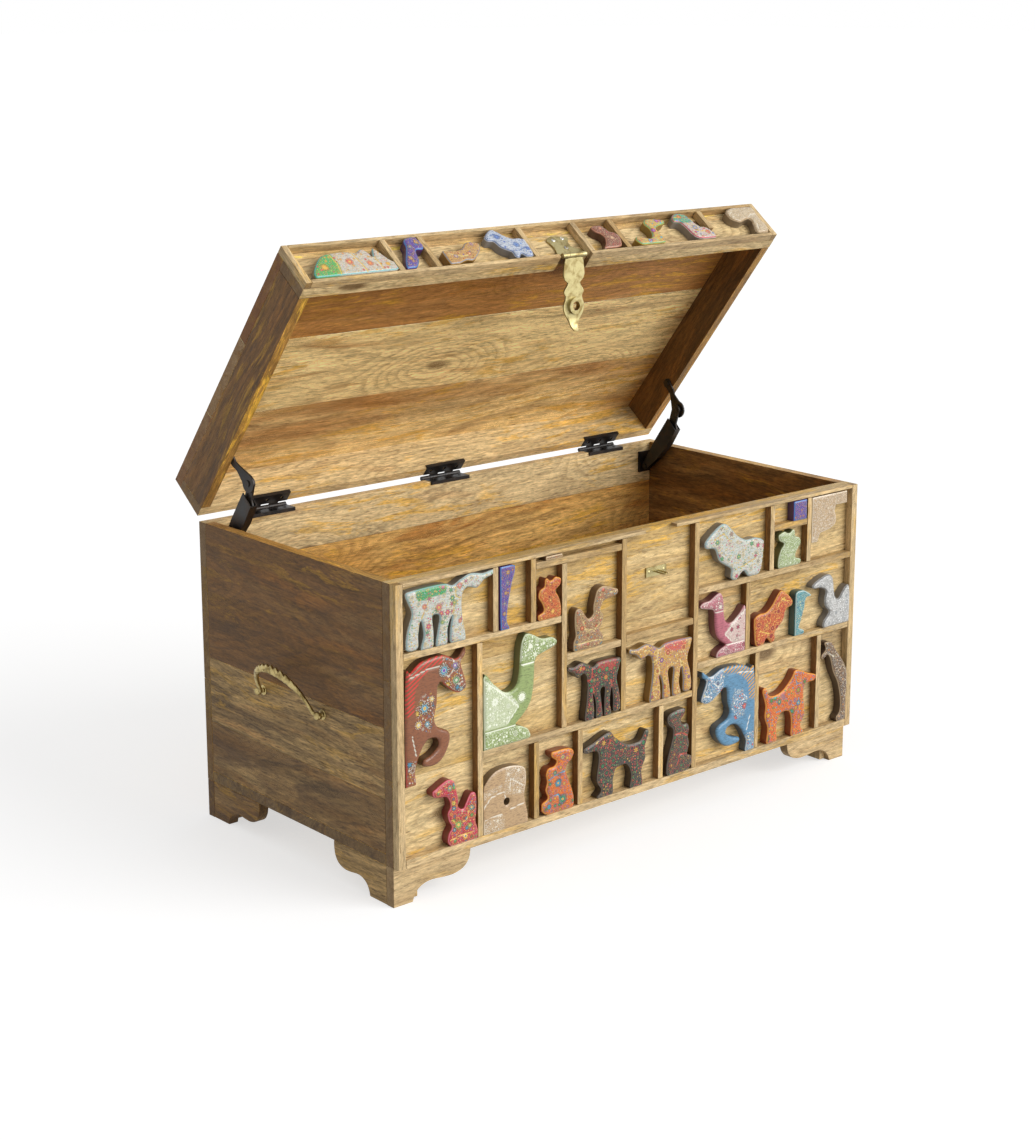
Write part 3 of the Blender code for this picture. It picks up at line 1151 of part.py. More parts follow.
def add_tube(bm, points, radii, normal, sides, shape=None, hand=1):
    """Sweep a round or shaped section along points that lie in one plane.

    The section runs round in the sense of hand, 1 or -1, so that a pair can mirror.
    """
    rings = []
    for i, point in enumerate(points):
        before = points[max(i - 1, 0)]
        after = points[min(i + 1, len(points) - 1)]
        tangent = (after - before).normalized()
        across = hand * normal.cross(tangent).normalized()
        ring = []
        for k in range(sides):
            angle = 2 * math.pi * k / sides
            radius = radii[i] * (shape(i, angle) if shape else 1)
            outward = across * math.cos(angle) + normal * math.sin(angle)
            ring.append(bm.verts.new(point + outward * radius))
        rings.append(ring)
    for ring, following in zip(rings, rings[1:]):
        for k in range(sides):
            bm.faces.new((ring[k - 1], ring[k], following[k], following[k - 1]))
    bm.faces.new(rings[0])
    bm.faces.new(list(reversed(rings[-1])))


# Handles

def make_handle_post(name, side, place, case):
    """Turned post with a ball head, drilled for the bail's end."""
    wall = HALF_WIDTH + FIT
    axis = HALF_WIDTH + HANDLE_STAND_OFF
    ball = HANDLE_BALL_RADIUS
    rose = wall + HANDLE_ROSE
    profile = [(wall, HANDLE_ROSE_RADIUS), (rose, HANDLE_ROSE_RADIUS), (rose, HANDLE_STEM_RADIUS)]
    steps = 5
    start = math.asin(HANDLE_STEM_RADIUS / ball)
    end = math.radians(165)
    for i in range(steps + 1):
        angle = start + (end - start) * i / steps
        profile.append((axis - ball * math.cos(angle), ball * math.sin(angle)))
    bm = bmesh.new()
    add_turned(bm, "X", place, HANDLE_Z, [(side * x, r) for x, r in profile])
    post = add_object(name, bm, "brass", case, smooth=True)
    drill = bmesh.new()
    hole = bore(side * axis, HANDLE_Z, HANDLE_PINTLE_RADIUS + FIT, SMALL_ROUND_SIDES)
    add_plate(drill, "Y", hole, place - ball - OVERRUN, place + ball + OVERRUN)
    combine(post, add_cutter(name + "_drill", drill, case), "DIFFERENCE")


def make_bail(name, side, carrier):
    """Rope-twisted bail that swells to its middle, with thin ends in the posts."""
    foot = HANDLE_SPAN / 2 - HANDLE_INSET
    tip = HANDLE_SPAN / 2 + HANDLE_BALL_RADIUS + HANDLE_PINTLE_OVERHANG
    shoulder = HANDLE_SPAN / 2 - HANDLE_BALL_RADIUS - FIT
    flat = [(-tip, 0.0), (-shoulder, 0.0)]
    for i in range(HANDLE_RINGS + 1):
        angle = math.pi * (1 - i / HANDLE_RINGS)
        lift = max(math.sin(angle), 0.0)
        flat.append((foot * math.cos(angle), HANDLE_LEG_RADIUS + lift * (HANDLE_RISE - HANDLE_LEG_RADIUS)))
    flat += [(shoulder, 0.0), (tip, 0.0)]
    lean_x = side * math.sin(HANDLE_LEAN)
    lean_z = math.cos(HANDLE_LEAN)
    axis = side * (HALF_WIDTH + HANDLE_STAND_OFF)
    points = [Vector((axis + lean_x * v, HANDLE_CENTRE_Y + u, HANDLE_Z + lean_z * v)) for u, v in flat]
    count = len(flat)
    swell = [0.0, 0.0]
    swell += [max(math.sin(math.pi * i / HANDLE_RINGS), 0.0) for i in range(HANDLE_RINGS + 1)]
    swell += [0.0, 0.0]
    radii = [HANDLE_LEG_RADIUS + (HANDLE_GRIP_RADIUS - HANDLE_LEG_RADIUS) * s ** 2 for s in swell]
    for i in (0, 1, -2, -1):
        radii[i] = HANDLE_PINTLE_RADIUS

    def rope(i, angle):
        twist = HANDLE_ROPE_TURNS * 2 * math.pi * i / count
        return 1 + HANDLE_ROPE_DEPTH_SHARE * swell[i] * math.cos(HANDLE_ROPE_LOBES * angle - twist)

    normal = Vector((side * lean_z, 0, -math.sin(HANDLE_LEAN)))
    bm = bmesh.new()
    add_tube(bm, points, radii, normal, HANDLE_ROPE_SIDES, rope, side)
    add_object(name, bm, "brass", carrier, smooth=True)


def make_handles(case):
    """A drop handle on each side, standing up and out as it rests."""
    for word, side in SIDES:
        for end, along in (("front", -1), ("back", 1)):
            place = HANDLE_CENTRE_Y + along * HANDLE_SPAN / 2
            make_handle_post(f"{word}_handle_{end}_post", side, place, case)
        axis = (side * (HALF_WIDTH + HANDLE_STAND_OFF), HANDLE_CENTRE_Y, HANDLE_Z)
        joint = Carrier(f"{word}_handle_joint", axis, case)
        make_bail(f"{word}_handle_bail", side, joint)


def centre_on_floor(root):
    """Stand the chest on the floor with the middle of its depth over the origin."""
    bpy.context.view_layer.update()
    solids = [obj for obj in bpy.data.objects if obj.type == "MESH" and not obj.hide_render]
    corners = [obj.matrix_world @ Vector(corner) for obj in solids for corner in obj.bound_box]
    depths = [corner.y for corner in corners]
    root.empty.location.y = -(min(depths) + max(depths)) / 2
    bpy.context.view_layer.update()


def main():
    """Build the chest."""
    clear_scene()
    case = Carrier("chest", (0, 0, 0))
    lid = Carrier("lid_joint", (0, HINGE_Y, HINGE_Z), case, -REST_ANGLE)
    pin = Carrier("hasp_pin_joint", (0, HASP_Y, HASP_Z), lid, REST_ANGLE)
    flap = Carrier("hasp_flap_joint", (0, HASP_Y, HASP_Z), pin)
    make_case_panels(case)
    make_feet(case)
    make_front_frame(case)
    make_front_dividers(case)
    make_front_figures(case)
    make_lid_panels(lid)
    make_lid_frame(lid)
    make_lid_figures(lid)
    make_hinges(case, lid)
    make_stays(case, lid)
    make_hasp_plate(lid)
    make_hasp_pin(pin)
    make_hasp_flap(flap)
    make_staple(case)
    make_handles(case)
    centre_on_floor(case)


main()
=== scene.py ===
"""Dress the storage chest's solid model with planks, carved painted animals and hardware."""

import json
from functools import reduce

import bmesh
import bpy
import numpy as np
from bpy.props import FloatProperty, FloatVectorProperty, PointerProperty
from bpy.types import Operator, Panel, PropertyGroup
from mathutils import Matrix, Vector
from mathutils.geometry import delaunay_2d_cdt


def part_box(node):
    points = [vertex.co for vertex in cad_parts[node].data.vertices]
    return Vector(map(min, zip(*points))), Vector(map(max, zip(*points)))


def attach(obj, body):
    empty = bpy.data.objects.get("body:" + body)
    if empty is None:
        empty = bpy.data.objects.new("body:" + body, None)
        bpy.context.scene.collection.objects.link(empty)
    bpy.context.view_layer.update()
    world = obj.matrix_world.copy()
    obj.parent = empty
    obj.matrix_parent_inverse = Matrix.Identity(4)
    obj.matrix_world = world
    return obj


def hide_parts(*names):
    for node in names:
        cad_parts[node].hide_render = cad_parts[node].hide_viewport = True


bl_info = {
    "name": "Animal block chest",
    "version": (1, 0, 0),
    "blender": (4, 5, 0),
    "location": "View3D > Sidebar > Chest",
    "description": "Builds a wooden storage chest with carved and painted animal blocks",
    "category": "Add Mesh",
}

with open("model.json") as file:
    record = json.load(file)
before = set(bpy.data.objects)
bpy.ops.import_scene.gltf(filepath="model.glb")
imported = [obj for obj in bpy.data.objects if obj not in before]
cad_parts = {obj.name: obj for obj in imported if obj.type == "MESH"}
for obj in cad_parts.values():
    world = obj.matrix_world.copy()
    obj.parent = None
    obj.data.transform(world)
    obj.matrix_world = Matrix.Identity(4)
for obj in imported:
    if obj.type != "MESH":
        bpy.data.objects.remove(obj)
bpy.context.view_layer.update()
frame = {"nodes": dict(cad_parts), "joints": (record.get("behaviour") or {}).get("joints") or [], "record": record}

# Places taken from the solid model, in metres

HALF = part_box("front_frame")[1].x
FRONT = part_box("front_frame")[0].y
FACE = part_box("front_panel")[0].y
IN_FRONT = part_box("front_panel")[1].y
IN_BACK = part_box("back_panel")[0].y
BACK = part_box("back_panel")[1].y
FLOOR_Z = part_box("bottom_panel")[0].z
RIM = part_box("front_panel")[1].z
IN_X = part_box("right_side_panel")[0].x
BOARD = HALF - IN_X
JOINTS = {joint["name"]: joint for joint in frame["joints"]}
HINGE_LINE = np.array(JOINTS["lid_hinge"]["pos_m"])
REST_TURN = np.radians(-JOINTS["lid_hinge"]["range_deg"][0])
LID_LOW = 2 * HINGE_LINE[2] - RIM
LID_TOP = LID_LOW + 0.072
LID_INNER = LID_TOP - BOARD
HANDLE = np.array(JOINTS["left_handle_swing"]["pos_m"])
SIDES = (("left", -1), ("right", 1))

# Sizes of the smaller parts, in metres, the first one the gap between neighbours

FIT = 0.0003
FRAME_DEPTH = 0.012
STRIP = 0.0095
LEVEL_INSET = 0.0004
CASE_STILE, CASE_SILL, CASE_LIP = 0.012, 0.012, 0.005
LID_STILE, LID_RAIL = 0.010, 0.006
HINGE_PLACES = (-0.3325, 0.0, 0.3325)
LEAF_HALF, MORTISE = 0.0383, 0.0021
NOTCH, NOTCH_HEIGHT = (-0.004, 0.057), 0.008
HASP_PLATE = 0.0025
HANDLE_OUT, POST_PLACE = 0.009, 0.071

# Share of the edge rounding that the planks take
PLANK_ROUNDING = 0.6

# Numbers of the planks: the whole part chooses a place in the grain, the rest a tone from light to warm
SIDE_PLANKS = ((3.55, 2.12, 1.78), (6.5, 7.2, 8.7))
LID_PLANKS = (12.74, 13.03, 14.46)


# Surfaces

def tube_faces(rows, columns):
    """Quads between neighbouring rows of a grid whose columns close on themselves."""
    row = np.arange(rows - 1)[:, None] * columns
    near = np.arange(columns)
    far = (near + 1) % columns
    return np.stack([row + near, row + far, row + columns + far, row + columns + near], -1).reshape(-1, 4)


def rounded_box(low, high, radius, steps=2):
    """Points of a small sphere, each pushed out to the corner of its octant."""
    low, high = np.asarray(low, float), np.asarray(high, float)
    low, high = np.minimum(low, high), np.maximum(low, high)
    quarter = np.linspace(0, np.pi / 2, steps + 1)
    turn = np.concatenate([quarter + k * np.pi / 2 for k in range(4)])
    rise = np.concatenate([quarter - np.pi / 2, quarter])
    corner = np.stack(np.broadcast_arrays(
        np.repeat([1, -1, -1, 1], steps + 1), np.repeat([1, 1, -1, -1], steps + 1),
        np.repeat([-1, 1], steps + 1)[:, None]), -1)
    level, upward = np.cos(rise)[:, None], np.sin(rise)[:, None]
    direction = np.stack(np.broadcast_arrays(level * np.cos(turn), level * np.sin(turn), upward), -1)
    half = (high - low) / 2
    radius = min(radius, half.min() * 0.98)
    return (low + high) / 2 + corner * (half - radius) + direction * radius


def outward(outline):
    """Mitred normals of a closed outline: the mean of two edge normals, drawn out to keep the wall even."""
    edge = np.roll(outline, -1, 0) - outline
    edge /= np.linalg.norm(edge, axis=1)[:, None] + 1e-12
    normal = np.stack([edge[:, 1], -edge[:, 0]], -1)
    area = np.sum(outline[:, 0] * np.roll(outline[:, 1], -1) - outline[:, 1] * np.roll(outline[:, 0], -1))
    normal *= np.sign(area)
    mean = normal + np.roll(normal, 1, 0)
    mean /= np.linalg.norm(mean, axis=1)[:, None] + 1e-12
    stretch = np.clip(np.sum(mean * normal, 1), 0.5, 1)
    return mean / stretch[:, None]


def lay(flat, axis, along):
    """Places flat points (a, b) and their distance along an axis in space."""
    a, b = flat[..., 0], flat[..., 1]
    along = np.broadcast_to(along, a.shape)
    order = {"X": (along, a, b), "Y": (a, along, b), "Z": (a, b, along)}[axis]
    return np.stack(order, -1)


def prism(outline, axis, low, high, radius, steps=2):
    """An outline carried along an axis, drawn in by a quarter circle at both ends."""
    outline = np.asarray(outline, float)
    normal = outward(outline)
    angle = np.linspace(0, np.pi / 2, steps + 1)
    inset = radius * (1 - np.sin(angle))
    rise = radius * (1 - np.cos(angle))
    sign = np.sign(high - low)
    insets = np.concatenate([inset, inset[::-1]])
    places = np.concatenate([low + sign * rise, high - sign * rise[::-1]])
    rings = outline - insets[:, None, None] * normal
    return lay(rings, axis, places[:, None])


def turned(place, axis, profile, sides=24):
    """A profile of (distance, radius) pairs turned about an axis through place, a pair of coordinates."""
    profile = np.asarray(profile, float)
    angle = np.linspace(0, 2 * np.pi, sides, endpoint=False)
    radius = profile[:, 1:2]
    flat = np.stack([place[0] + radius * np.cos(angle), place[1] + radius * np.sin(angle)], -1)
    return lay(flat, axis, profile[:, 0:1])


def swept(path, normal, radius, sides=12):
    """A section of the given radius, which may vary along and around, carried along a path in a plane."""
    path = np.asarray(path, float)
    tangent = np.gradient(path, axis=0)
    tangent /= np.linalg.norm(tangent, axis=1)[:, None]
    across = np.cross(normal, tangent)
    across /= np.linalg.norm(across, axis=1)[:, None]
    angle = np.linspace(0, 2 * np.pi, sides, endpoint=False)
    radius = np.broadcast_to(radius, (len(path), sides))
    cosine, sine = (wave(angle)[None, :, None] for wave in (np.cos, np.sin))
    return path[:, None] + (across[:, None] * cosine + np.asarray(normal) * sine) * radius[..., None]


def smooth_spans(a, b, c, d, steps=4):
    """Catmull-Rom spans from b to c: each is a cubic of its four nearest points."""
    a, b, c, d = (points[:, None] for points in (a, b, c, d))
    t = (np.arange(steps) / steps)[:, None]
    curve = b + 0.5 * ((c - a) * t + (2 * a - 5 * b + 4 * c - d) * t ** 2 + (3 * b - a - 3 * c + d) * t ** 3)
    return curve.reshape(-1, 2)


def smooth_loop(points):
    """Closed smooth curve through points."""
    points = np.asarray(points, float)
    return smooth_spans(*(np.roll(points, k, 0) for k in (1, 0, -1, -2)))


def smooth_path(points):
    """Open smooth curve through points, its ends carried on in a straight line."""
    p = np.asarray(points, float)
    p = np.concatenate([[2 * p[0] - p[1]], p, [2 * p[-1] - p[-2]]])
    return np.concatenate([smooth_spans(p[:-3], p[1:-2], p[2:-1], p[3:]), p[-2:-1]])


def even_steps(line, count):
    """Points at even distances along a line."""
    run = np.append(0, np.cumsum(np.linalg.norm(np.diff(line, axis=0), axis=1)))
    place = np.linspace(0, run[-1], count)
    return np.stack([np.interp(place, run, line[:, k]) for k in range(line.shape[1])], -1)


def reach(points, line, closed=True):
    """Distance from each point to the nearest segment of a line."""
    start = np.asarray(line, float)
    end = np.roll(start, -1, 0) if closed else start[1:]
    start = start if closed else start[:-1]
    run = end - start
    offset = points[:, None] - start[None]
    share = np.clip(np.sum(offset * run, -1) / (np.sum(run * run, -1) + 1e-18), 0, 1)
    return np.linalg.norm(offset - share[..., None] * run, axis=-1).min(1)


def inside(points, outline):
    """True for points within an outline: their ray to the right crosses it an odd number of times."""
    outline = np.asarray(outline, float)
    x, y = points[:, 0:1], points[:, 1:2]
    x1, y1 = outline[:, 0], outline[:, 1]
    x2, y2 = np.roll(x1, -1), np.roll(y1, -1)
    crosses = (y1 > y) != (y2 > y)
    at = x1 + (y - y1) * (x2 - x1) / np.where(y2 == y1, 1e-12, y2 - y1)
    return (np.sum(crosses & (x < at), 1) % 2) == 1


GRAIN_ORDER = {"X": (0, 1, 2), "Y": (1, 0, 2), "Z": (2, 0, 1)}


class Shape:
    """Closed surfaces kept together until they become one object."""

    def __init__(self):
        self.points, self.faces, self.marks, self.flat, self.tones = [], [], [], [], []
        self.grain, self.along = [], []
        self.count = 0

    def add(self, points, faces, mark=0.0, axis="X", flat=None, tones=None):
        """Adds a mesh with a plank number, its grain's axis, flat coordinates and painted tones."""
        points = np.asarray(points, float).reshape(-1, 3)
        amount = len(points)
        order = list(GRAIN_ORDER[axis])
        self.points.append(points)
        self.grain.append(points[:, order])
        self.along.append(np.tile(np.eye(3)[order[0]], (amount, 1)))
        self.faces += [[index + self.count for index in face] for face in faces]
        self.marks.append(np.full(amount, float(mark)))
        self.flat.append(np.zeros((amount, 2)) if flat is None else flat)
        self.tones.append(np.zeros((amount, 4)) if tones is None else tones)
        self.count += amount

    def tube(self, grid, mark=0.0, axis="X"):
        """Adds a grid of closed rows with both ends capped."""
        rows, columns = grid.shape[:2]
        faces = tube_faces(rows, columns).tolist()
        faces.append(list(range(columns))[::-1])
        faces.append(list(range((rows - 1) * columns, rows * columns)))
        self.add(grid, faces, mark, axis)

    def box(self, low, high, radius=0.001, mark=0.0, axis="X"):
        """Adds a box with rounded edges."""
        self.tube(rounded_box(low, high, radius), mark, axis)

    def finish(self, name, material, body, nodes=(), lid=False, sharp=40, weighted=True):
        """Makes the object, turned with the open lid if it is drawn closed, and rides it on its body."""
        points, along = np.concatenate(self.points), np.concatenate(self.along)
        if lid:
            points = opened(points)
            along = opened(along + HINGE_LINE) - HINGE_LINE
        mesh = bpy.data.meshes.new(name)
        mesh.from_pydata(points.tolist(), [], self.faces)
        tones = np.concatenate(self.tones)
        for title, kind, field, values in (
                ("plank", "FLOAT", "value", np.concatenate(self.marks)),
                ("cover", "FLOAT", "value", tones[:, 3]),
                ("tones", "FLOAT_VECTOR", "vector", tones[:, :3]),
                ("grain", "FLOAT_VECTOR", "vector", np.concatenate(self.grain)),
                ("along", "FLOAT_VECTOR", "vector", along)):
            attribute = mesh.attributes.new(title, kind, "POINT")
            attribute.data.foreach_set(field, np.ascontiguousarray(values, np.float32).ravel())
        flat = np.concatenate(self.flat)
        index = stored(mesh.loops, "vertex_index", kind=np.int32)
        chart = mesh.uv_layers.new(name="paint")
        chart.data.foreach_set("uv", flat[index].astype(np.float32).ravel())
        close_mesh(mesh, sharp)
        mark_faces(mesh, opened(np.eye(3) + HINGE_LINE) - HINGE_LINE if lid else np.eye(3))
        mesh.materials.append(material)
        piece = place_object(name, mesh)
        if weighted:
            piece.modifiers.new("weighted", "WEIGHTED_NORMAL").keep_sharp = True
        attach(piece, body)
        if nodes:
            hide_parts(*nodes)
        return piece


def place_object(name, data):
    """A new object in the scene."""
    thing = bpy.data.objects.new(name, data)
    bpy.context.scene.collection.objects.link(thing)
    return thing


def close_mesh(mesh, sharp, flatten=False):
    """Merges doubles, turns all faces out and shades smooth up to an angle."""
    shell = bmesh.new()
    shell.from_mesh(mesh)
    bmesh.ops.remove_doubles(shell, verts=shell.verts, dist=1e-6)
    if flatten:
        bmesh.ops.dissolve_limit(shell, angle_limit=np.radians(0.5), verts=shell.verts, edges=shell.edges)
    bmesh.ops.recalc_face_normals(shell, faces=shell.faces)
    shell.to_mesh(mesh)
    shell.free()
    mesh.shade_smooth()
    mesh.set_sharp_from_angle(angle=np.radians(sharp))


def stored(items, field, width=1, kind=np.float32):
    """A field of all items, as one row each where it holds several numbers."""
    values = np.zeros(len(items) * width, kind)
    items.foreach_get(field, values)
    return values.reshape(-1, width) if width > 1 else values


def mark_faces(mesh, axes):
    """Keeps on each face how squarely it cuts the grain and the closed chest's axes: |normal . direction|."""
    normal = stored(mesh.polygons, "normal", 3)
    starts = stored(mesh.polygons, "loop_start", kind=np.int32)
    first = stored(mesh.loops, "vertex_index", kind=np.int32)[starts]
    along = stored(mesh.attributes["along"].data, "vector", 3)[first]
    square = np.abs(np.sum(normal * along, 1))
    mesh.attributes.new("end", "FLOAT", "FACE").data.foreach_set("value", square)
    facing = np.ascontiguousarray(np.abs(normal @ axes.T), np.float32)
    mesh.attributes.new("facing", "FLOAT_VECTOR", "FACE").data.foreach_set("vector", facing.ravel())
    mesh.attributes.remove(mesh.attributes["along"])


def refine(node, material, body, bevel):
    """A merged copy of a solid model's node with softened edges, in its place."""
    mesh = frame["nodes"][node].data.copy()
    mesh.name = f"{node}_finish"
    close_mesh(mesh, 38, True)
    mesh.materials.clear()
    mesh.materials.append(material)
    piece = place_object(f"{node}_finish", mesh)
    edge = piece.modifiers.new("bevel", "BEVEL")
    edge.width = bevel
    edge.segments = 2
    edge.limit_method = "ANGLE"
    edge.angle_limit = np.radians(35)
    edge.use_clamp_overlap = True
    edge.harden_normals = True
    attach(piece, body)
    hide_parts(node)
    return piece


def screw_head(centre, plate, radius, crown, turn):
    """Points and faces of a round head on a plate facing -Y.

    Height over the plate at distance r: crown * sqrt(1 - (r / radius) ** 2), less a slot
    depth * exp(-(x / width) ** 4) across it.
    """
    rings, sides = 12, 48
    lift, lowest = 0.0004, 0.0003
    slot_depth, slot_width = 0.9 * crown, 0.14 * radius
    r = radius * np.linspace(0, 1, rings + 1)[1:, None]
    angle = np.linspace(0, 2 * np.pi, sides, endpoint=False)[None]
    x, z = r * np.cos(angle), r * np.sin(angle)
    height = crown * np.sqrt(np.clip(1 - (r / radius) ** 2, 0, 1)) * np.ones_like(x) + lift
    across = x * np.cos(turn) + z * np.sin(turn)
    height = np.maximum(height - slot_depth * np.exp(-(across / slot_width) ** 4), lowest)
    grid = np.stack([centre[0] + x, plate - height, centre[1] + z], -1)
    foot = np.stack([centre[0] + x[-1], np.full(sides, plate + lift), centre[1] + z[-1]], -1)
    grid = np.concatenate([grid, foot[None]])
    faces = tube_faces(rings + 1, sides).tolist()
    faces.append(list(range(sides))[::-1])
    faces.append(list(range(rings * sides, (rings + 1) * sides)))
    return grid, faces


def opened(points):
    """Turns points drawn with the lid closed about the hinge line to the lid's resting angle."""
    points = np.array(points, float)
    y = points[..., 1] - HINGE_LINE[1]
    z = points[..., 2] - HINGE_LINE[2]
    points[..., 1] = HINGE_LINE[1] + y * np.cos(REST_TURN) + z * np.sin(REST_TURN)
    points[..., 2] = HINGE_LINE[2] - y * np.sin(REST_TURN) + z * np.cos(REST_TURN)
    return points


# Carved figures

def shares(*numbers):
    """Points as shares of a figure's width and height, given in hundredths."""
    return tuple((across / 100, up / 100) for across, up in zip(numbers[::2], numbers[1::2]))


OUTLINES = {
    "elephant": shares(0, 90, 10, 93, 27, 94, 44, 93, 53, 88, 62, 94, 74, 100, 88, 96, 100, 98, 99, 91, 89,
        86, 81, 76, 71, 80, 65, 75, 63, 60, 64, 35, 67, 0, 51, 0, 50, 20, 52, 42, 47, 25, 46, 0, 34, 0, 36,
        25, 38, 46, 30, 48, 31, 25, 30, 0, 17, 0, 20, 22, 17, 45, 14, 25, 13, 4, 0, 6, 2, 34, 7, 58, 3, 75),
    "horse": shares(2, 85, 10, 90, 24, 96, 42, 98, 63, 98, 80, 93, 88, 94, 98, 100, 98, 94, 91, 89, 95, 80,
        100, 70, 95, 66, 87, 65, 76, 68, 64, 74, 58, 77, 53, 74, 51, 60, 47, 50, 52, 42, 70, 36, 71, 27,
        62, 17, 49, 12, 30, 13, 29, 18, 42, 21, 54, 27, 50, 33, 38, 34, 28, 29, 20, 20, 15, 11, 16, 0, 0, 0),
    "camel": shares(0, 88, 9, 92, 22, 97, 35, 100, 47, 95, 52, 83, 56, 68, 56, 57, 61, 52, 68, 51, 75, 59,
        84, 70, 93, 70, 97, 62, 97, 43, 95, 27, 100, 13, 97, 0, 70, 0, 42, 0, 33, 8, 35, 19, 42, 28, 36,
        38, 33, 50, 39, 58, 38, 67, 31, 75, 18, 77, 3, 80),
    "bird": shares(0, 68, 14, 60, 29, 50, 43, 53, 48, 66, 49, 80, 51, 92, 57, 100, 66, 98, 79, 92, 93, 91,
        100, 86, 96, 82, 83, 79, 70, 74, 68, 54, 64, 36, 54, 25, 43, 17, 53, 13, 61, 8, 61, 0, 30, 0, 0, 0),
    "neck": shares(0, 100, 100, 98, 78, 72, 53, 40, 43, 14, 62, 0, 3, 0),
    "cat": shares(30, 99, 45, 100, 66, 100, 90, 97, 99, 89, 91, 79, 77, 72, 75, 62, 83, 48, 95, 28, 100,
        12, 94, 0, 60, 0, 20, 0, 0, 10, 2, 21, 19, 27, 12, 41, 17, 54, 13, 66, 21, 75, 38, 76, 46, 83, 32,
        91),
    "sitting_cat": shares(30, 96, 38, 100, 50, 93, 62, 94, 75, 99, 98, 92, 95, 77, 75, 66, 88, 50, 99, 25,
        95, 0, 55, 0, 8, 0, 0, 13, 24, 22, 18, 40, 2, 57, 8, 74, 26, 80),
    "horse_head": shares(0, 69, 7, 84, 24, 96, 49, 100, 77, 97, 94, 88, 96, 66, 92, 45, 100, 12, 98, 0, 50,
        0, 0, 0),
    "giraffe": shares(10, 99, 24, 100, 40, 97, 52, 89, 73, 78, 95, 63, 100, 46, 97, 23, 96, 0, 68, 0, 64,
        6, 75, 11, 77, 25, 66, 46, 46, 62, 35, 77, 25, 84, 5, 80, 0, 85, 16, 91),
    "dog": shares(52, 88, 60, 100, 72, 97, 84, 91, 100, 84, 96, 76, 80, 75, 77, 60, 80, 30, 73, 12, 79, 3,
        73, 0, 56, 0, 55, 24, 50, 40, 34, 40, 27, 22, 28, 0, 10, 0, 11, 24, 5, 42, 6, 60, 0, 82, 6, 86, 14,
        72, 34, 73),
    "silver_camel": shares(0, 86, 12, 93, 30, 99, 44, 100, 53, 91, 56, 76, 60, 56, 70, 49, 79, 59, 88, 68,
        98, 68, 100, 30, 99, 0, 66, 0, 34, 0, 32, 12, 42, 22, 46, 30, 36, 41, 33, 54, 36, 70, 22, 78, 3, 80),
    "relief_elephant": shares(0, 100, 98, 100, 97, 72, 93, 60, 100, 46, 97, 32, 78, 24, 53, 20, 36, 18, 30,
        10, 22, 0, 0, 0),
    "turquoise_bird": shares(0, 82, 8, 98, 46, 100, 100, 84, 66, 80, 56, 58, 36, 31, 26, 17, 56, 9, 54, 0,
        0, 0),
    "block": shares(0, 0, 100, 0, 100, 100, 0, 100),
    "dome_elephant": shares(0, 14, 8, 50, 20, 84, 32, 94, 46, 96, 56, 93, 62, 86, 71, 100, 76, 86, 79, 64,
        82, 84, 86, 100, 91, 74, 95, 48, 100, 30, 96, 0, 48, 0, 2, 0),
    "lid_giraffe": shares(2, 0, 30, 0, 46, 12, 57, 28, 62, 46, 70, 57, 91, 57, 100, 70, 97, 85, 90, 100,
        70, 99, 54, 94, 46, 84, 43, 70, 30, 50, 12, 25),
    "lid_bird": shares(0, 62, 1, 0, 22, 0, 44, 12, 62, 10, 90, 50, 100, 80, 94, 94, 81, 100, 67, 94, 52,
        70, 36, 63, 15, 66),
    "cow": shares(0, 74, 14, 90, 31, 100, 44, 88, 55, 74, 70, 64, 86, 64, 100, 55, 99, 33, 94, 3, 76, 0,
        66, 12, 54, 0, 45, 5, 45, 20, 35, 29, 24, 40, 17, 60, 3, 64),
    "lid_cat": shares(6, 93, 28, 100, 52, 98, 64, 84, 70, 70, 90, 62, 100, 41, 80, 6, 40, 0, 0, 0, 20, 22,
        33, 46, 28, 62, 12, 74),
    "lid_dog": shares(59, 100, 80, 97, 100, 89, 97, 76, 80, 70, 68, 60, 67, 42, 70, 20, 64, 0, 38, 0, 10,
        0, 0, 22, 9, 34, 24, 27, 36, 22, 47, 34, 52, 60, 48, 82),
    "peacock": shares(4, 86, 18, 98, 36, 100, 51, 92, 57, 76, 63, 56, 72, 44, 86, 40, 100, 14, 93, 0, 60,
        0, 38, 6, 29, 22, 25, 50, 17, 66, 0, 70),
    "ram": shares(0, 80, 10, 93, 24, 98, 48, 100, 98, 96, 99, 70, 97, 48, 100, 22, 90, 0, 62, 0, 52, 8, 60,
        30, 66, 46, 60, 55, 46, 52, 27, 46, 10, 53, 0, 66),
}

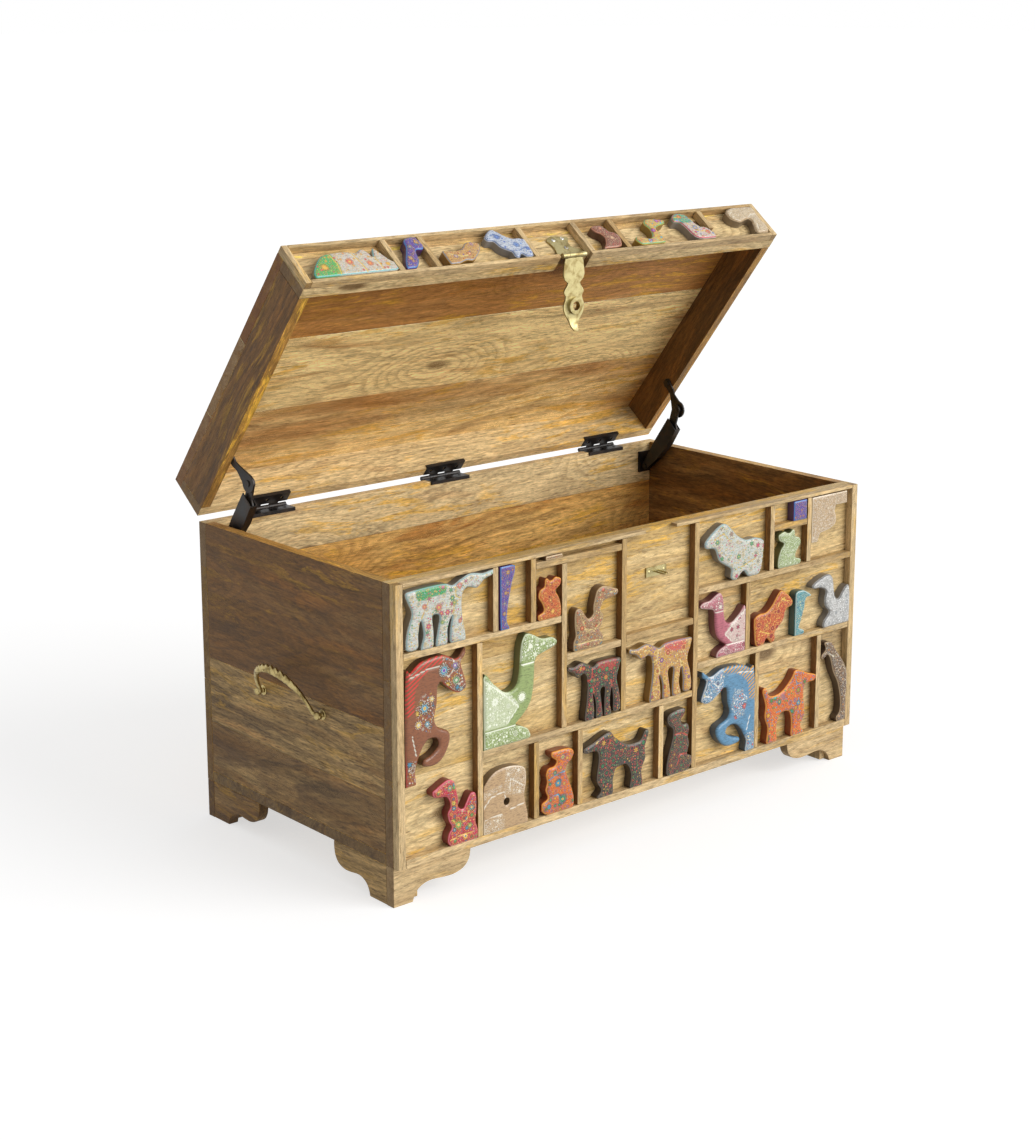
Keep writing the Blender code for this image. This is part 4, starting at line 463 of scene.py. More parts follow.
# Lines carved into a figure
GROOVES = {
    "elephant": (shares(55, 86, 56, 70, 63, 66, 68, 74), shares(74, 90, 76, 90), shares(17, 48, 20, 60),
        shares(52, 44, 54, 58)),
    "horse": (shares(6, 86, 34, 90, 56, 90), shares(62, 84, 70, 80, 80, 86), shares(86, 72, 94, 74),
        shares(80, 91, 74, 98), shares(10, 40, 16, 24)),
    "camel": (shares(10, 86, 20, 88), shares(40, 40, 56, 30, 74, 34, 80, 48),
        shares(38, 10, 60, 13, 92, 12)),
    "bird": (shares(0, 66, 30, 46, 46, 34, 30, 20), shares(49, 72, 70, 72), shares(0, 17, 42, 17),
        shares(60, 93, 62, 93)),
    "cat": (shares(20, 56, 40, 62, 70, 64), shares(25, 28, 50, 30, 62, 12), shares(62, 92, 66, 92)),
    "giraffe": (shares(26, 86, 46, 80), shares(18, 93, 20, 93)),
    "dog": (shares(70, 90, 72, 90), shares(60, 90, 64, 76)),
    "horse_head": (shares(0, 44, 16, 58, 44, 62, 50, 50), shares(0, 24, 40, 26), shares(60, 30, 94, 34),
        shares(58, 62, 60, 80, 90, 62)),
    "dome_elephant": (shares(30, 0, 33, 46, 30, 92), shares(56, 90, 60, 40, 62, 0), shares(80, 64, 82, 10)),
    "lid_bird": (shares(10, 50, 40, 30, 62, 36), shares(84, 86, 86, 86)),
    "cow": (shares(14, 76, 30, 84, 40, 70), shares(60, 20, 86, 30)),
    "peacock": (shares(10, 84, 30, 86), shares(36, 60, 48, 30, 86, 20)),
    "ram": (shares(10, 78, 22, 84), shares(62, 60, 80, 70, 96, 66), shares(64, 10, 74, 36)),
}

# The part of a figure that is painted in its second colour
PATCHES = {
    "elephant": shares(10, 97, 46, 97, 44, 80, 13, 76),
    "horse": shares(-5, 55, -5, 88, 10, 95, 40, 103, 60, 103, 60, 93, 40, 91, 24, 84, 14, 74, 13, 58),
    "bird": shares(-5, 70, 30, 50, 47, 36, 30, 19, -5, 19),
    "dome_elephant": shares(-5, 0, -5, 100, 31, 100, 34, 46, 30, -10),
    "peacock": shares(-5, 60, 55, 62, 60, 110, -5, 110),
}

# Holes drilled through a figure: share across and up, radius
DRILLED = {"horse_head": ((0.52, 0.44, 0.0055),)}

# Parts of a figure that carry painted ornament, where not all of it does
ZONES = {
    "horse": (shares(60, 98, 62, 70, 90, 62, 105, 66, 96, 90, 80, 96),
        shares(16, 60, 22, 42, 38, 40, 46, 56, 40, 72, 26, 70), shares(-10, -10, 25, -10, 16, 20, -10, 20)),
    "bird": (shares(-5, 72, 30, 52, 44, 38, 28, 20, -5, 20), shares(-10, -10, 70, -10, 70, 15, -10, 15),
        shares(47, 76, 110, 72, 110, 110, 47, 110)),
    "horse_head": (shares(46, 58, 50, 105, 100, 100, 100, 50, 74, 52),
        shares(-10, -10, 46, -10, 44, 24, -10, 20), shares(-10, 52, 14, 62, 40, 66, 40, 74, 0, 68)),
}

# Single flowers: share across and up, reach in millimetres, petals, then petal and heart as paint numbers
ROSETTES = {
    "white_elephant": ((0.36, 0.60, 5.6, 6, 2, 4), (0.20, 0.66, 4.0, 5, 2, 4), (0.54, 0.62, 4.0, 5, 3, 4),
                       (0.60, 0.86, 4.4, 8, 2, 5), (0.16, 0.40, 3.2, 5, 2, 4), (0.40, 0.36, 3.0, 5, 3, 4),
                       (0.60, 0.32, 3.2, 5, 2, 4)),
    "brown_horse": ((0.62, 0.86, 9.0, 9, 3, 6), (0.82, 0.76, 6.5, 8, 7, 4), (0.80, 0.88, 5.0, 8, 6, 4),
                    (0.30, 0.60, 8.5, 6, 3, 2), (0.20, 0.48, 6.5, 6, 2, 4), (0.34, 0.47, 5.0, 6, 3, 4),
                    (0.42, 0.66, 5.0, 5, 2, 4), (0.90, 0.68, 3.6, 6, 3, 2)),
    "green_bird": ((0.50, 0.42, 8.4, 12, 4, 2), (0.62, 0.88, 5.0, 8, 4, 2), (0.14, 0.44, 8.0, 9, 4, 3)),
    "red_camel": ((0.36, 0.88, 5.0, 7, 2, 4), (0.55, 0.30, 7.0, 7, 3, 4), (0.84, 0.50, 5.0, 6, 2, 4),
                  (0.70, 0.10, 5.4, 8, 4, 2), (0.44, 0.64, 4.0, 6, 4, 3), (0.80, 0.24, 4.4, 6, 3, 4)),
    "orange_cat": ((0.48, 0.48, 6.2, 8, 4, 3), (0.62, 0.20, 7.4, 8, 2, 3), (0.62, 0.88, 4.4, 7, 3, 2),
                   (0.20, 0.14, 4.0, 7, 4, 2), (0.38, 0.66, 3.6, 6, 2, 3)),
    "small_orange_cat": ((0.50, 0.46, 3.6, 6, 3, 4), (0.60, 0.18, 4.0, 6, 2, 4), (0.50, 0.84, 2.6, 5, 3, 4)),
    "dark_elephant": ((0.30, 0.66, 4.2, 7, 2, 4), (0.52, 0.66, 3.6, 6, 3, 4), (0.72, 0.90, 3.4, 6, 4, 2)),
    "orange_dog": ((0.66, 0.50, 5.0, 7, 4, 3), (0.30, 0.60, 4.6, 7, 2, 3)),
    "purple_neck": ((0.50, 0.90, 3.4, 7, 2, 3), (0.46, 0.74, 3.2, 7, 3, 2), (0.36, 0.58, 3.0, 7, 2, 3),
                    (0.28, 0.42, 2.8, 7, 3, 2), (0.26, 0.26, 2.8, 7, 2, 3), (0.34, 0.10, 2.8, 7, 3, 2)),
    "lid_green_elephant": ((0.16, 0.36, 6.4, 9, 3, 4), (0.48, 0.50, 6.0, 6, 2, 4),
                           (0.70, 0.36, 5.0, 7, 2, 3), (0.90, 0.26, 3.8, 6, 3, 4)),
    "lid_purple_giraffe": ((0.82, 0.80, 4.2, 8, 2, 3), (0.52, 0.66, 3.6, 7, 3, 2),
                           (0.30, 0.30, 4.2, 8, 2, 3)),
    "lid_yellow_bird": ((0.24, 0.34, 4.4, 7, 3, 4), (0.80, 0.84, 3.6, 6, 3, 2), (0.60, 0.40, 4.0, 7, 2, 4)),
    "lid_blue_cow": ((0.30, 0.72, 5.4, 8, 2, 3), (0.66, 0.40, 5.4, 8, 3, 2), (0.88, 0.24, 4.0, 6, 2, 3)),
    "lid_yellow_dog": ((0.30, 0.10, 4.6, 8, 3, 4), (0.56, 0.50, 4.4, 7, 2, 3), (0.80, 0.86, 3.6, 6, 2, 3)),
    "lid_peacock": ((0.26, 0.84, 4.6, 8, 2, 4), (0.50, 0.40, 5.0, 8, 3, 4), (0.80, 0.20, 4.6, 8, 2, 3)),
    "lid_red_cat": ((0.60, 0.40, 4.8, 7, 2, 4), (0.40, 0.84, 4.0, 7, 3, 4)),
}

# Upright strips: share of the width between the stiles, lower and upper strip
UPRIGHTS = (
    (0.173, "elephant", "long_left", "lip"), (0.2495, "giraffe", "long_left", "lip"),
    (0.314, "bird", "shelf_left", "short_top"), (0.141, "horse", "sill", "long_left"),
    (0.256, "tile", "sill", "shelf_left"), (0.349, "cat", "sill", "shelf_left"),
    (0.530, "low_middle", "sill", "shelf_left"), (0.443, "hasp_left", "shelf_left", "lip"),
    (0.608, "hasp_right", "sill", "lip"), (0.790, "upper_right", "long_right", "lip"),
    (0.884, "relief", "long_right", "lip"), (0.734, "middle_right", "shelf_right", "long_right"),
    (0.760, "low_right", "sill", "shelf_right"), (0.918, "tall_giraffe", "sill", "shelf_right"),
)
# Level strips: share of the height between sill and lip, left and right strip
LEVELS = (
    (0.735, "long_left", "left", "bird"), (0.957, "short_top", "giraffe", "hasp_left"),
    (0.299, "shelf_left", "horse", "hasp_right"), (0.583, "middle_left", "bird", "hasp_left"),
    (0.594, "hasp_shelf", "hasp_left", "hasp_right"), (0.707, "long_right", "hasp_right", "right"),
    (0.404, "shelf_right", "hasp_right", "right"), (0.891, "block_shelf", "upper_right", "relief"),
)
# The lid's upright strips: share of the width and of the height where they start
LID_UPRIGHTS = (
    (0.169, "elephant", 0.0), (0.241, "giraffe", 0.0), (0.4455, "hasp_left", 0.0),
    (0.5655, "hasp_right", 0.0), (0.649, "cat", 0.0), (0.864, "ram", 0.36),
)

# Figures: name, outline, strips left, right, below and above, place between them, mirrored, paint
FRONT_FIGURES = (
    ("white_elephant", "elephant", ("left", "elephant", "long_left", "lip"), (0.02, 1.0, 0.0, 1.0), False,
     "pearl"),
    ("dark_elephant", "elephant", ("bird", "hasp_left", "shelf_left", "middle_left"), (0.0, 0.98, 0.0, 0.92),
     True, "night"),
    ("brown_horse", "horse", ("left", "horse", "sill", "long_left"), (0.0, 0.84, 0.37, 1.0), False,
     "chestnut"),
    ("red_camel", "camel", ("left", "horse", "sill", "long_left"), (0.36, 0.99, 0.0, 0.35), False,
     "crimson"),
    ("silver_camel", "silver_camel", ("middle_right", "right", "shelf_right", "long_right"),
     (0.61, 1.0, 0.0, 0.82), False, "silver"),
    ("green_bird", "bird", ("horse", "bird", "shelf_left", "long_left"), (0.0, 0.93, 0.0, 0.98), False,
     "sage"),
    ("white_giraffe", "giraffe", ("tall_giraffe", "right", "sill", "shelf_right"), (0.0, 1.0, 0.0, 0.91),
     False, "umber"),
    ("orange_cat", "cat", ("tile", "cat", "sill", "shelf_left"), (0.04, 0.89, 0.0, 0.82), False, "orange"),
    ("orange_dog", "dog", ("low_right", "tall_giraffe", "sill", "shelf_right"), (0.05, 0.99, 0.0, 0.70),
     False, "orange"),
    ("gold_elephant", "elephant", ("hasp_left", "hasp_right", "shelf_left", "hasp_shelf"),
     (0.03, 0.97, 0.0, 0.9), True, "mustard"),
    ("relief_elephant", "relief_elephant", ("relief", "right", "long_right", "lip"), (0.0, 0.60, 0.28, 0.99),
     False, "bare"),
    ("horse_head", "horse_head", ("horse", "tile", "sill", "shelf_left"), (0.0, 0.87, 0.0, 0.80), False,
     "bare"),
    ("blue_horse", "horse", ("hasp_right", "low_right", "sill", "shelf_right"), (0.06, 1.0, 0.0, 0.96), True,
     "sky"),
    ("dark_camel", "camel", ("bird", "hasp_left", "middle_left", "short_top"), (0.10, 0.92, 0.0, 0.66), True,
     "tawny"),
    ("turquoise_bird", "turquoise_bird", ("middle_right", "right", "shelf_right", "long_right"),
     (0.44, 0.60, 0.0, 0.68), False, "turquoise"),
    ("rose_bird", "bird", ("hasp_right", "middle_right", "shelf_right", "long_right"),
     (0.02, 0.98, 0.0, 0.96), True, "rose"),
    ("purple_neck", "neck", ("elephant", "giraffe", "long_left", "lip"), (0.03, 0.49, 0.0, 0.99), False,
     "violet"),
    ("small_orange_cat", "sitting_cat", ("giraffe", "bird", "long_left", "short_top"),
     (0.04, 0.95, 0.0, 0.80), False, "amber"),
    ("small_green_cat", "sitting_cat", ("upper_right", "relief", "long_right", "block_shelf"),
     (0.10, 0.80, 0.0, 0.96), True, "sage"),
    ("black_cat", "cat", ("low_middle", "hasp_right", "sill", "shelf_left"), (0.10, 1.0, 0.0, 0.88), True,
     "night"),
    ("bronze_dog", "dog", ("cat", "low_middle", "sill", "shelf_left"), (0.0, 0.86, 0.0, 0.86), True,
     "night"),
    ("white_cow", "cow", ("hasp_right", "upper_right", "long_right", "lip"), (0.06, 0.90, 0.0, 0.90), False,
     "pearl"),
    ("amber_cow", "cow", ("middle_right", "right", "shelf_right", "long_right"), (0.03, 0.41, 0.0, 0.76),
     True, "amber"),
    ("tawny_block", "block", ("giraffe", "hasp_left", "short_top", "lip"), (0.10, 0.29, 0.0, 0.98), False,
     "tawny"),
    ("violet_block", "block", ("upper_right", "relief", "block_shelf", "lip"), (0.55, 0.95, 0.0, 0.98),
     False, "violet"),
    ("bare_block", "block", ("relief", "right", "long_right", "lip"), (0.58, 0.86, 0.80, 0.99), False,
     "bare"),
)
# Figures that are pieces of their own in the solid model
SEPARATE = {"white_elephant", "dark_elephant", "brown_horse", "red_camel", "silver_camel", "green_bird",
            "white_giraffe", "orange_cat", "orange_dog"}
# Figures of the lid: name, outline, strips left and right, place between them, paint
LID_FIGURES = (
    ("green_elephant", "dome_elephant", ("left", "elephant"), (0.06, 0.99, 0.0, 0.74), "meadow"),
    ("purple_giraffe", "lid_giraffe", ("elephant", "giraffe"), (0.02, 1.0, 0.0, 0.98), "violet"),
    ("yellow_bird", "lid_bird", ("giraffe", "hasp_left"), (0.08, 0.50, 0.0, 0.66), "mustard"),
    ("blue_cow", "cow", ("giraffe", "hasp_left"), (0.60, 1.0, 0.0, 0.98), "porcelain"),
    ("red_cat", "lid_cat", ("hasp_right", "cat"), (0.28, 0.98, 0.0, 0.80), "russet"),
    ("yellow_dog", "lid_dog", ("cat", "ram"), (0.08, 0.54, 0.0, 0.86), "carnival"),
    ("peacock", "peacock", ("cat", "ram"), (0.64, 1.0, 0.0, 0.96), "parade"),
    ("cream_ram", "ram", ("ram", "right"), (0.42, 1.0, 0.0, 0.98), "cream"),
)

# Paints: ground, patch, two petals, dots and lines, each as linear red, green and blue
PAINTS = {
    "pearl": ((0.62, 0.62, 0.55), (0.03, 0.30, 0.08), (0.55, 0.08, 0.14), (0.10, 0.30, 0.12),
              (0.60, 0.42, 0.10), (0.30, 0.48, 0.50)),
    "night": ((0.022, 0.015, 0.011), (0.35, 0.02, 0.02), (0.50, 0.30, 0.04), (0.03, 0.22, 0.07),
              (0.55, 0.06, 0.03), (0.16, 0.12, 0.08)),
    "chestnut": ((0.24, 0.078, 0.024), (0.62, 0.030, 0.020), (0.62, 0.40, 0.06), (0.05, 0.24, 0.36),
                 (0.62, 0.60, 0.50), (0.50, 0.05, 0.03)),
    "crimson": ((0.50, 0.012, 0.030), (0.50, 0.012, 0.030), (0.03, 0.22, 0.30), (0.10, 0.35, 0.08),
                (0.75, 0.45, 0.10), (0.75, 0.20, 0.25)),
    "silver": ((0.52, 0.52, 0.50), (0.70, 0.70, 0.68), (0.72, 0.72, 0.70), (0.28, 0.30, 0.31),
               (0.80, 0.80, 0.78), (0.20, 0.20, 0.20)),
    "sage": ((0.29, 0.38, 0.13), (0.50, 0.56, 0.34), (0.76, 0.80, 0.62), (0.70, 0.75, 0.55),
             (0.82, 0.85, 0.70), (0.72, 0.78, 0.58)),
    "umber": ((0.10, 0.050, 0.025), (0.55, 0.45, 0.30), (0.62, 0.48, 0.28), (0.45, 0.22, 0.08),
              (0.66, 0.60, 0.48), (0.50, 0.36, 0.20)),
    "orange": ((0.66, 0.095, 0.006), (0.66, 0.095, 0.006), (0.03, 0.22, 0.05), (0.70, 0.38, 0.02),
               (0.03, 0.26, 0.40), (0.85, 0.42, 0.06)),
    "mustard": ((0.62, 0.33, 0.045), (0.62, 0.10, 0.04), (0.50, 0.08, 0.05), (0.22, 0.08, 0.30),
                (0.75, 0.60, 0.25), (0.20, 0.24, 0.30)),
    "sky": ((0.10, 0.26, 0.42), (0.60, 0.30, 0.05), (0.70, 0.60, 0.30), (0.55, 0.10, 0.08),
            (0.75, 0.75, 0.70), (0.70, 0.72, 0.72)),
    "tawny": ((0.30, 0.15, 0.06), (0.30, 0.02, 0.02), (0.55, 0.12, 0.04), (0.10, 0.26, 0.30),
              (0.65, 0.50, 0.20), (0.60, 0.45, 0.25)),
    "turquoise": ((0.03, 0.28, 0.32), (0.03, 0.28, 0.32), (0.60, 0.62, 0.40), (0.05, 0.12, 0.30),
                  (0.70, 0.72, 0.60), (0.55, 0.65, 0.60)),
    "rose": ((0.46, 0.12, 0.16), (0.62, 0.45, 0.40), (0.70, 0.60, 0.50), (0.40, 0.03, 0.08),
             (0.75, 0.70, 0.60), (0.70, 0.55, 0.50)),
    "violet": ((0.105, 0.022, 0.30), (0.105, 0.022, 0.30), (0.60, 0.28, 0.03), (0.03, 0.16, 0.45),
               (0.62, 0.42, 0.10), (0.04, 0.22, 0.50)),
    "amber": ((0.52, 0.055, 0.008), (0.55, 0.30, 0.05), (0.70, 0.38, 0.05), (0.34, 0.010, 0.010),
              (0.80, 0.52, 0.10), (0.80, 0.42, 0.06)),
    "meadow": ((0.66, 0.62, 0.54), (0.02, 0.40, 0.06), (0.70, 0.07, 0.09), (0.80, 0.38, 0.04),
               (0.75, 0.50, 0.08), (0.12, 0.42, 0.44)),
    "porcelain": ((0.62, 0.66, 0.70), (0.62, 0.66, 0.70), (0.07, 0.14, 0.42), (0.16, 0.28, 0.55),
                  (0.10, 0.18, 0.40), (0.10, 0.16, 0.34)),
    "russet": ((0.20, 0.060, 0.030), (0.20, 0.060, 0.030), (0.55, 0.26, 0.14), (0.50, 0.05, 0.03),
               (0.62, 0.45, 0.25), (0.50, 0.20, 0.10)),
    "carnival": ((0.74, 0.46, 0.04), (0.74, 0.46, 0.04), (0.42, 0.04, 0.48), (0.02, 0.46, 0.58),
                 (0.70, 0.04, 0.12), (0.10, 0.42, 0.18)),
    "parade": ((0.64, 0.60, 0.54), (0.02, 0.38, 0.22), (0.66, 0.02, 0.05), (0.08, 0.18, 0.60),
               (0.76, 0.52, 0.05), (0.56, 0.02, 0.06)),
    "cream": ((0.60, 0.46, 0.28), (0.60, 0.46, 0.28), (0.72, 0.62, 0.46), (0.66, 0.54, 0.36),
              (0.76, 0.68, 0.54), (0.42, 0.28, 0.14)),
    "bare": ((0.50, 0.33, 0.17), (0.50, 0.33, 0.17), (0.72, 0.64, 0.50), (0.70, 0.60, 0.44),
             (0.76, 0.70, 0.58), (0.72, 0.62, 0.46)),
}
# Colours that every paint has beside its own
SHARED_PAINTS = ((0.16, 0.05, 0.38), (0.05, 0.26, 0.07))
# Paints whose flowers have hardly any dark outline
PALE = {"silver", "sage", "bare", "cream", "porcelain"}


def strip_places(uprights, levels, bottom, top, stile):
    """Ends of every strip across and along, with the borders on the outside."""
    limit = HALF - stile
    across = {"left": (None, -limit), "right": (limit, None)}
    along = {"sill": (None, bottom), "lip": (top, None)}
    for share, name, *_ in uprights:
        left = -limit + share * 2 * limit
        across[name] = (left, left + STRIP)
    for share, name, *_ in levels:
        base = bottom + share * (top - bottom)
        along[name] = (base, base + STRIP)
    return across, along


def case_strips():
    """Strip places of the case's front."""
    return strip_places(UPRIGHTS, LEVELS, FLOOR_Z + CASE_SILL, RIM - CASE_LIP, CASE_STILE)


def lid_strips():
    """Strip places of the lid's front."""
    return strip_places(LID_UPRIGHTS, (), LID_LOW + LID_RAIL, LID_TOP - LID_RAIL, LID_STILE)


def figure_box(across, along, strips, place):
    """Left, right, bottom and top of a figure between its strips."""
    left, right, below, above = strips
    cell = (across[left][1] + FIT, across[right][0] - FIT, along[below][1] + FIT, along[above][0] - FIT)
    width, height = cell[1] - cell[0], cell[3] - cell[2]
    return (cell[0] + place[0] * width, cell[0] + place[1] * width,
            cell[2] + place[2] * height, cell[2] + place[3] * height)


def in_box(points, box, mirrored=False):
    """Shares of width and height as places in a box."""
    points = np.array(points, float).reshape(-1, 2)
    u = 1 - points[:, 0] if mirrored else points[:, 0]
    return np.stack([box[0] + u * (box[1] - box[0]), box[2] + points[:, 1] * (box[3] - box[2])], -1)


def upright(flat, y):
    """Flat points across and up, at a depth."""
    return np.stack([flat[:, 0], np.broadcast_to(y, len(flat)), flat[:, 1]], -1)


def carved(shape, outline, holes, front, rim, crown, spacing, lines, patch, zones):
    """A domed relief over an outline, back to the front panel.

    Height over the rim is crown * sqrt(1 - (1 - d / rim) ** 2), where d is the distance to the outline,
    less a groove exp(-(d / width) ** 2) along each carved line.
    """
    groove_width, groove_share, tone_reach, edge_drop = 0.0011, 0.45, 0.006, 0.0016
    loops = [outline, *holes]
    low, high = outline.min(0), outline.max(0)
    rows = np.arange(low[1], high[1], spacing * 0.866)
    x, z = np.meshgrid(np.arange(low[0], high[0], spacing), rows)
    x = x + (np.arange(len(rows)) % 2)[:, None] * spacing / 2
    grid = np.stack([x.ravel(), z.ravel()], -1)
    keep = inside(grid, outline)
    for hole in holes:
        keep &= ~inside(grid, hole)
    for loop in loops:
        keep &= reach(grid, loop) > spacing * 0.45
    points = np.concatenate([*loops, grid[keep]])
    edges, start = [], 0
    for loop in loops:
        count = len(loop)
        edges += [(start + i, start + (i + 1) % count) for i in range(count)]
        start += count
    found = delaunay_2d_cdt([Vector(p) for p in points], edges, [], 1, 1e-9)
    flat = np.array([tuple(p) for p in found[0]])
    faces = [list(face) for face in found[2]]
    for hole in holes:
        centres = np.array([flat[face].mean(0) for face in faces])
        faces = [face for face, hollow in zip(faces, inside(centres, hole)) if not hollow]
    depth = np.min([reach(flat, loop) for loop in loops], 0)
    share = np.clip(depth / rim, 0, 1)
    stroke = np.zeros(len(flat))
    for line in lines:
        stroke = np.maximum(stroke, np.exp(-(reach(flat, line, False) / groove_width) ** 2))
    height = crown * np.sqrt(1 - (1 - share) ** 2) - stroke * crown * groove_share * (share > 0.2)
    tones = np.stack([np.clip(depth / tone_reach, 0, 1) * 0.9 + 0.1, soft_mask(flat, patch, 0.0), stroke,
                      soft_mask(flat, zones, 1.0)], -1)
    sheets, walls, count = [upright(flat, front - height)], [], len(flat)
    for loop in loops:
        ring = np.array([int(np.argmin(np.sum((flat - p) ** 2, 1))) for p in loop])
        ring = ring[np.append(True, ring[1:] != ring[:-1])]
        amount = len(ring)
        sheets += [upright(flat[ring], front + edge_drop), upright(flat[ring], FRONT + FRAME_DEPTH)]
        for i in range(amount):
            j = (i + 1) % amount
            walls.append([int(ring[i]), int(ring[j]), count + j, count + i])
            walls.append([count + i, count + j, count + amount + j, count + amount + i])
        count += 2 * amount
    if holes:
        walls += [[count + index for index in face[::-1]] for face in faces]
        sheets.append(upright(flat, FRONT + FRAME_DEPTH))
    else:
        walls.append([count - amount + i for i in range(amount)])
    points = np.concatenate(sheets)
    bare = np.zeros((len(points) - len(flat), 4))
    shape.add(points, faces + walls, 0.0, "X", points[:, [0, 2]], np.concatenate([tones, bare]))


def soft_mask(flat, areas, empty):
    """One inside the given areas, falling to nought over a millimetre outside them."""
    if not areas:
        return np.full(len(flat), empty)
    fade = 0.001
    masks = [np.where(inside(flat, area), 1.0, np.clip(1 - reach(flat, area) / fade, 0, 1)) for area in areas]
    return np.max(masks, 0)


def add_figure(name, kind, box, mirrored, paint, body, nodes=(), lid=False):
    """One carved animal, painted or left bare."""
    def placed(shapes):
        return [in_box(points, box, mirrored) for points in shapes]

    block, bare = kind == "block", paint == "bare"
    width, height = box[1] - box[0], box[3] - box[2]
    size = min(width, height)
    outline = OUTLINES[kind]
    edge, = placed([outline if block else smooth_loop(outline)])
    edge = np.clip(edge, (box[0], box[2]), (box[1], box[3]))
    edge = edge[np.linalg.norm(edge - np.roll(edge, 1, 0), axis=1) > 1e-5]
    if block:
        edge = np.concatenate([a + (b - a) * np.linspace(0, 1, 6, endpoint=False)[:, None]
                               for a, b in zip(edge, np.roll(edge, -1, 0))])
    turn = np.linspace(0, 2 * np.pi, 16, endpoint=False)
    holes = [np.stack([u + radius / width * np.cos(turn), v + radius / height * np.sin(turn)], -1)
             for u, v, radius in DRILLED.get(kind, ())]
    rim, spacing = np.clip(size * 0.10, 0.0012, 0.0050), np.clip(size / 22, 0.0011, 0.0024)
    crown = 0.0012 if bare else np.clip(size * 0.05, 0.0010, 0.0026)
    shape = Shape()
    carved(shape, edge, placed(holes), FRONT - (0.0 if bare else 0.0006), rim, crown, spacing,
           placed(GROOVES.get(kind, ())), placed([PATCHES[kind]] if kind in PATCHES else ()),
           placed(ZONES.get(kind, ())))
    rosettes = [(*placed([(u, v)])[0][0], millimetres / 1000, petals, petal, heart)
                for u, v, millimetres, petals, petal, heart in ROSETTES.get(name, ())]
    flowers = bpy.context.scene.chest_paint.flowers / max(size, 0.03)
    material = paint_material(name, paint, flowers, rosettes, float(kind == "horse"))
    return shape.finish(f"{name}_carving", material, body, nodes, lid, 50, False)


# Materials

class Tree:
    """A node tree with short calls for the nodes that it takes. Most of them return the new node's result."""

    def __init__(self, tree):
        self.tree = tree

    def put(self, socket, value):
        """Links an input or sets its value."""
        if isinstance(value, bpy.types.NodeSocket):
            self.tree.links.new(value, socket)
        else:
            socket.default_value = value

    def add(self, kind, settings=None, **inputs):
        """Adds a node with its settings and gives it its inputs, by name or as i and a number."""
        node = self.tree.nodes.new(f"ShaderNode{kind}")
        for key, value in (settings or {}).items():
            setattr(node, key, value)
        for key, value in inputs.items():
            self.put(node.inputs[int(key[1:]) if key[1:].isdigit() else key.replace("_", " ")], value)
        return node

    def math(self, operation, a, b=0.0, c=0.0):
        """The result of a Math node."""
        return self.add("Math", {"operation": operation}, i0=a, i1=b, i2=c).outputs[0]

    def plus(self, a, b):
        """a + b."""
        return self.math("ADD", a, b)

    def minus(self, a, b):
        """a - b."""
        return self.math("SUBTRACT", a, b)

    def times(self, *values):
        """The product of all values."""
        return reduce(lambda a, b: self.math("MULTIPLY", a, b), values)

    def fuse(self, a, b, c):
        """a * b + c."""
        return self.math("MULTIPLY_ADD", a, b, c)

    def most(self, *values):
        """The largest value."""
        return reduce(lambda a, b: self.math("MAXIMUM", a, b), values)

    def ramp(self, value, low, high):
        """Rises smoothly from 0 at low to 1 at high."""
        return self.add("MapRange", {"interpolation_type": "SMOOTHSTEP"}, Value=value, From_Min=low,
                        From_Max=high).outputs[0]

    def split(self, value, middle):
        """Nought under the middle and one over it, with a short blend."""
        return self.ramp(value, middle - 0.05, middle + 0.05)

    def vector(self, operation, a, b):
        """The vector of a Vector Math node."""
        return self.add("VectorMath", {"operation": operation}, i0=a, i1=b).outputs[0]

    def scaled(self, vector, amount):
        """A vector times a number."""
        return self.add("VectorMath", {"operation": "SCALE"}, i0=vector, Scale=amount).outputs[0]

    def stretched(self, vector, amounts):
        """A vector scaled along each axis."""
        return self.vector("MULTIPLY", vector, amounts)

    def parts(self, vector):
        """The three parts of a vector."""
        return self.add("SeparateXYZ", Vector=vector).outputs

    def tints(self, colour):
        """The three parts of a colour."""
        return self.add("SeparateColor", Color=colour).outputs

    def attribute(self, name, output="Fac"):
        """What the mesh carries under a name."""
        return self.add("Attribute", {"attribute_name": name}).outputs[output]

    def noise(self, vector, amounts, detail=3.0, distortion=0.0, rough=0.55, output=0):
        """Noise stretched along each axis."""
        return self.add("TexNoise", Vector=self.stretched(vector, amounts), Scale=1.0, Detail=detail,
                        Distortion=distortion, Roughness=rough).outputs[output]

    def cells(self, vector, scale, spread):
        """The outputs of a Voronoi texture."""
        return self.add("TexVoronoi", Vector=vector, Scale=scale, Randomness=spread).outputs

    def mix(self, share, a, b, blend="MIX"):
        """Two colours mixed by a share."""
        node = self.add("Mix", {"data_type": "RGBA", "blend_type": blend}, i0=share)
        for index, colour in ((6, a), (7, b)):
            linked = isinstance(colour, bpy.types.NodeSocket)
            self.put(node.inputs[index], colour if linked else (*colour[:3], 1.0))
        return node.outputs[2]

    def shown(self):
        """One where the camera or a reflection sees a surface, nought where it only lights others."""
        path = self.add("LightPath").outputs
        return self.most(path["Is Camera Ray"], path["Is Glossy Ray"], path["Is Transmission Ray"])


def new_group(name, vectors, colours, numbers, results):
    """A node group's tree, what it is given and what it gives: a colour and the numbers in results."""
    group = bpy.data.node_groups.new(name, "ShaderNodeTree")
    for kind, titles in (("Vector", vectors), ("Color", colours), ("Float", numbers)):
        for title in titles:
            group.interface.new_socket(title, in_out="INPUT", socket_type=f"NodeSocket{kind}")
    group.interface.new_socket("Colour", in_out="OUTPUT", socket_type="NodeSocketColor")
    for title in results:
        group.interface.new_socket(title, in_out="OUTPUT", socket_type="NodeSocketFloat")
    return Tree(group), group.nodes.new("NodeGroupInput").outputs, group.nodes.new("NodeGroupOutput").inputs


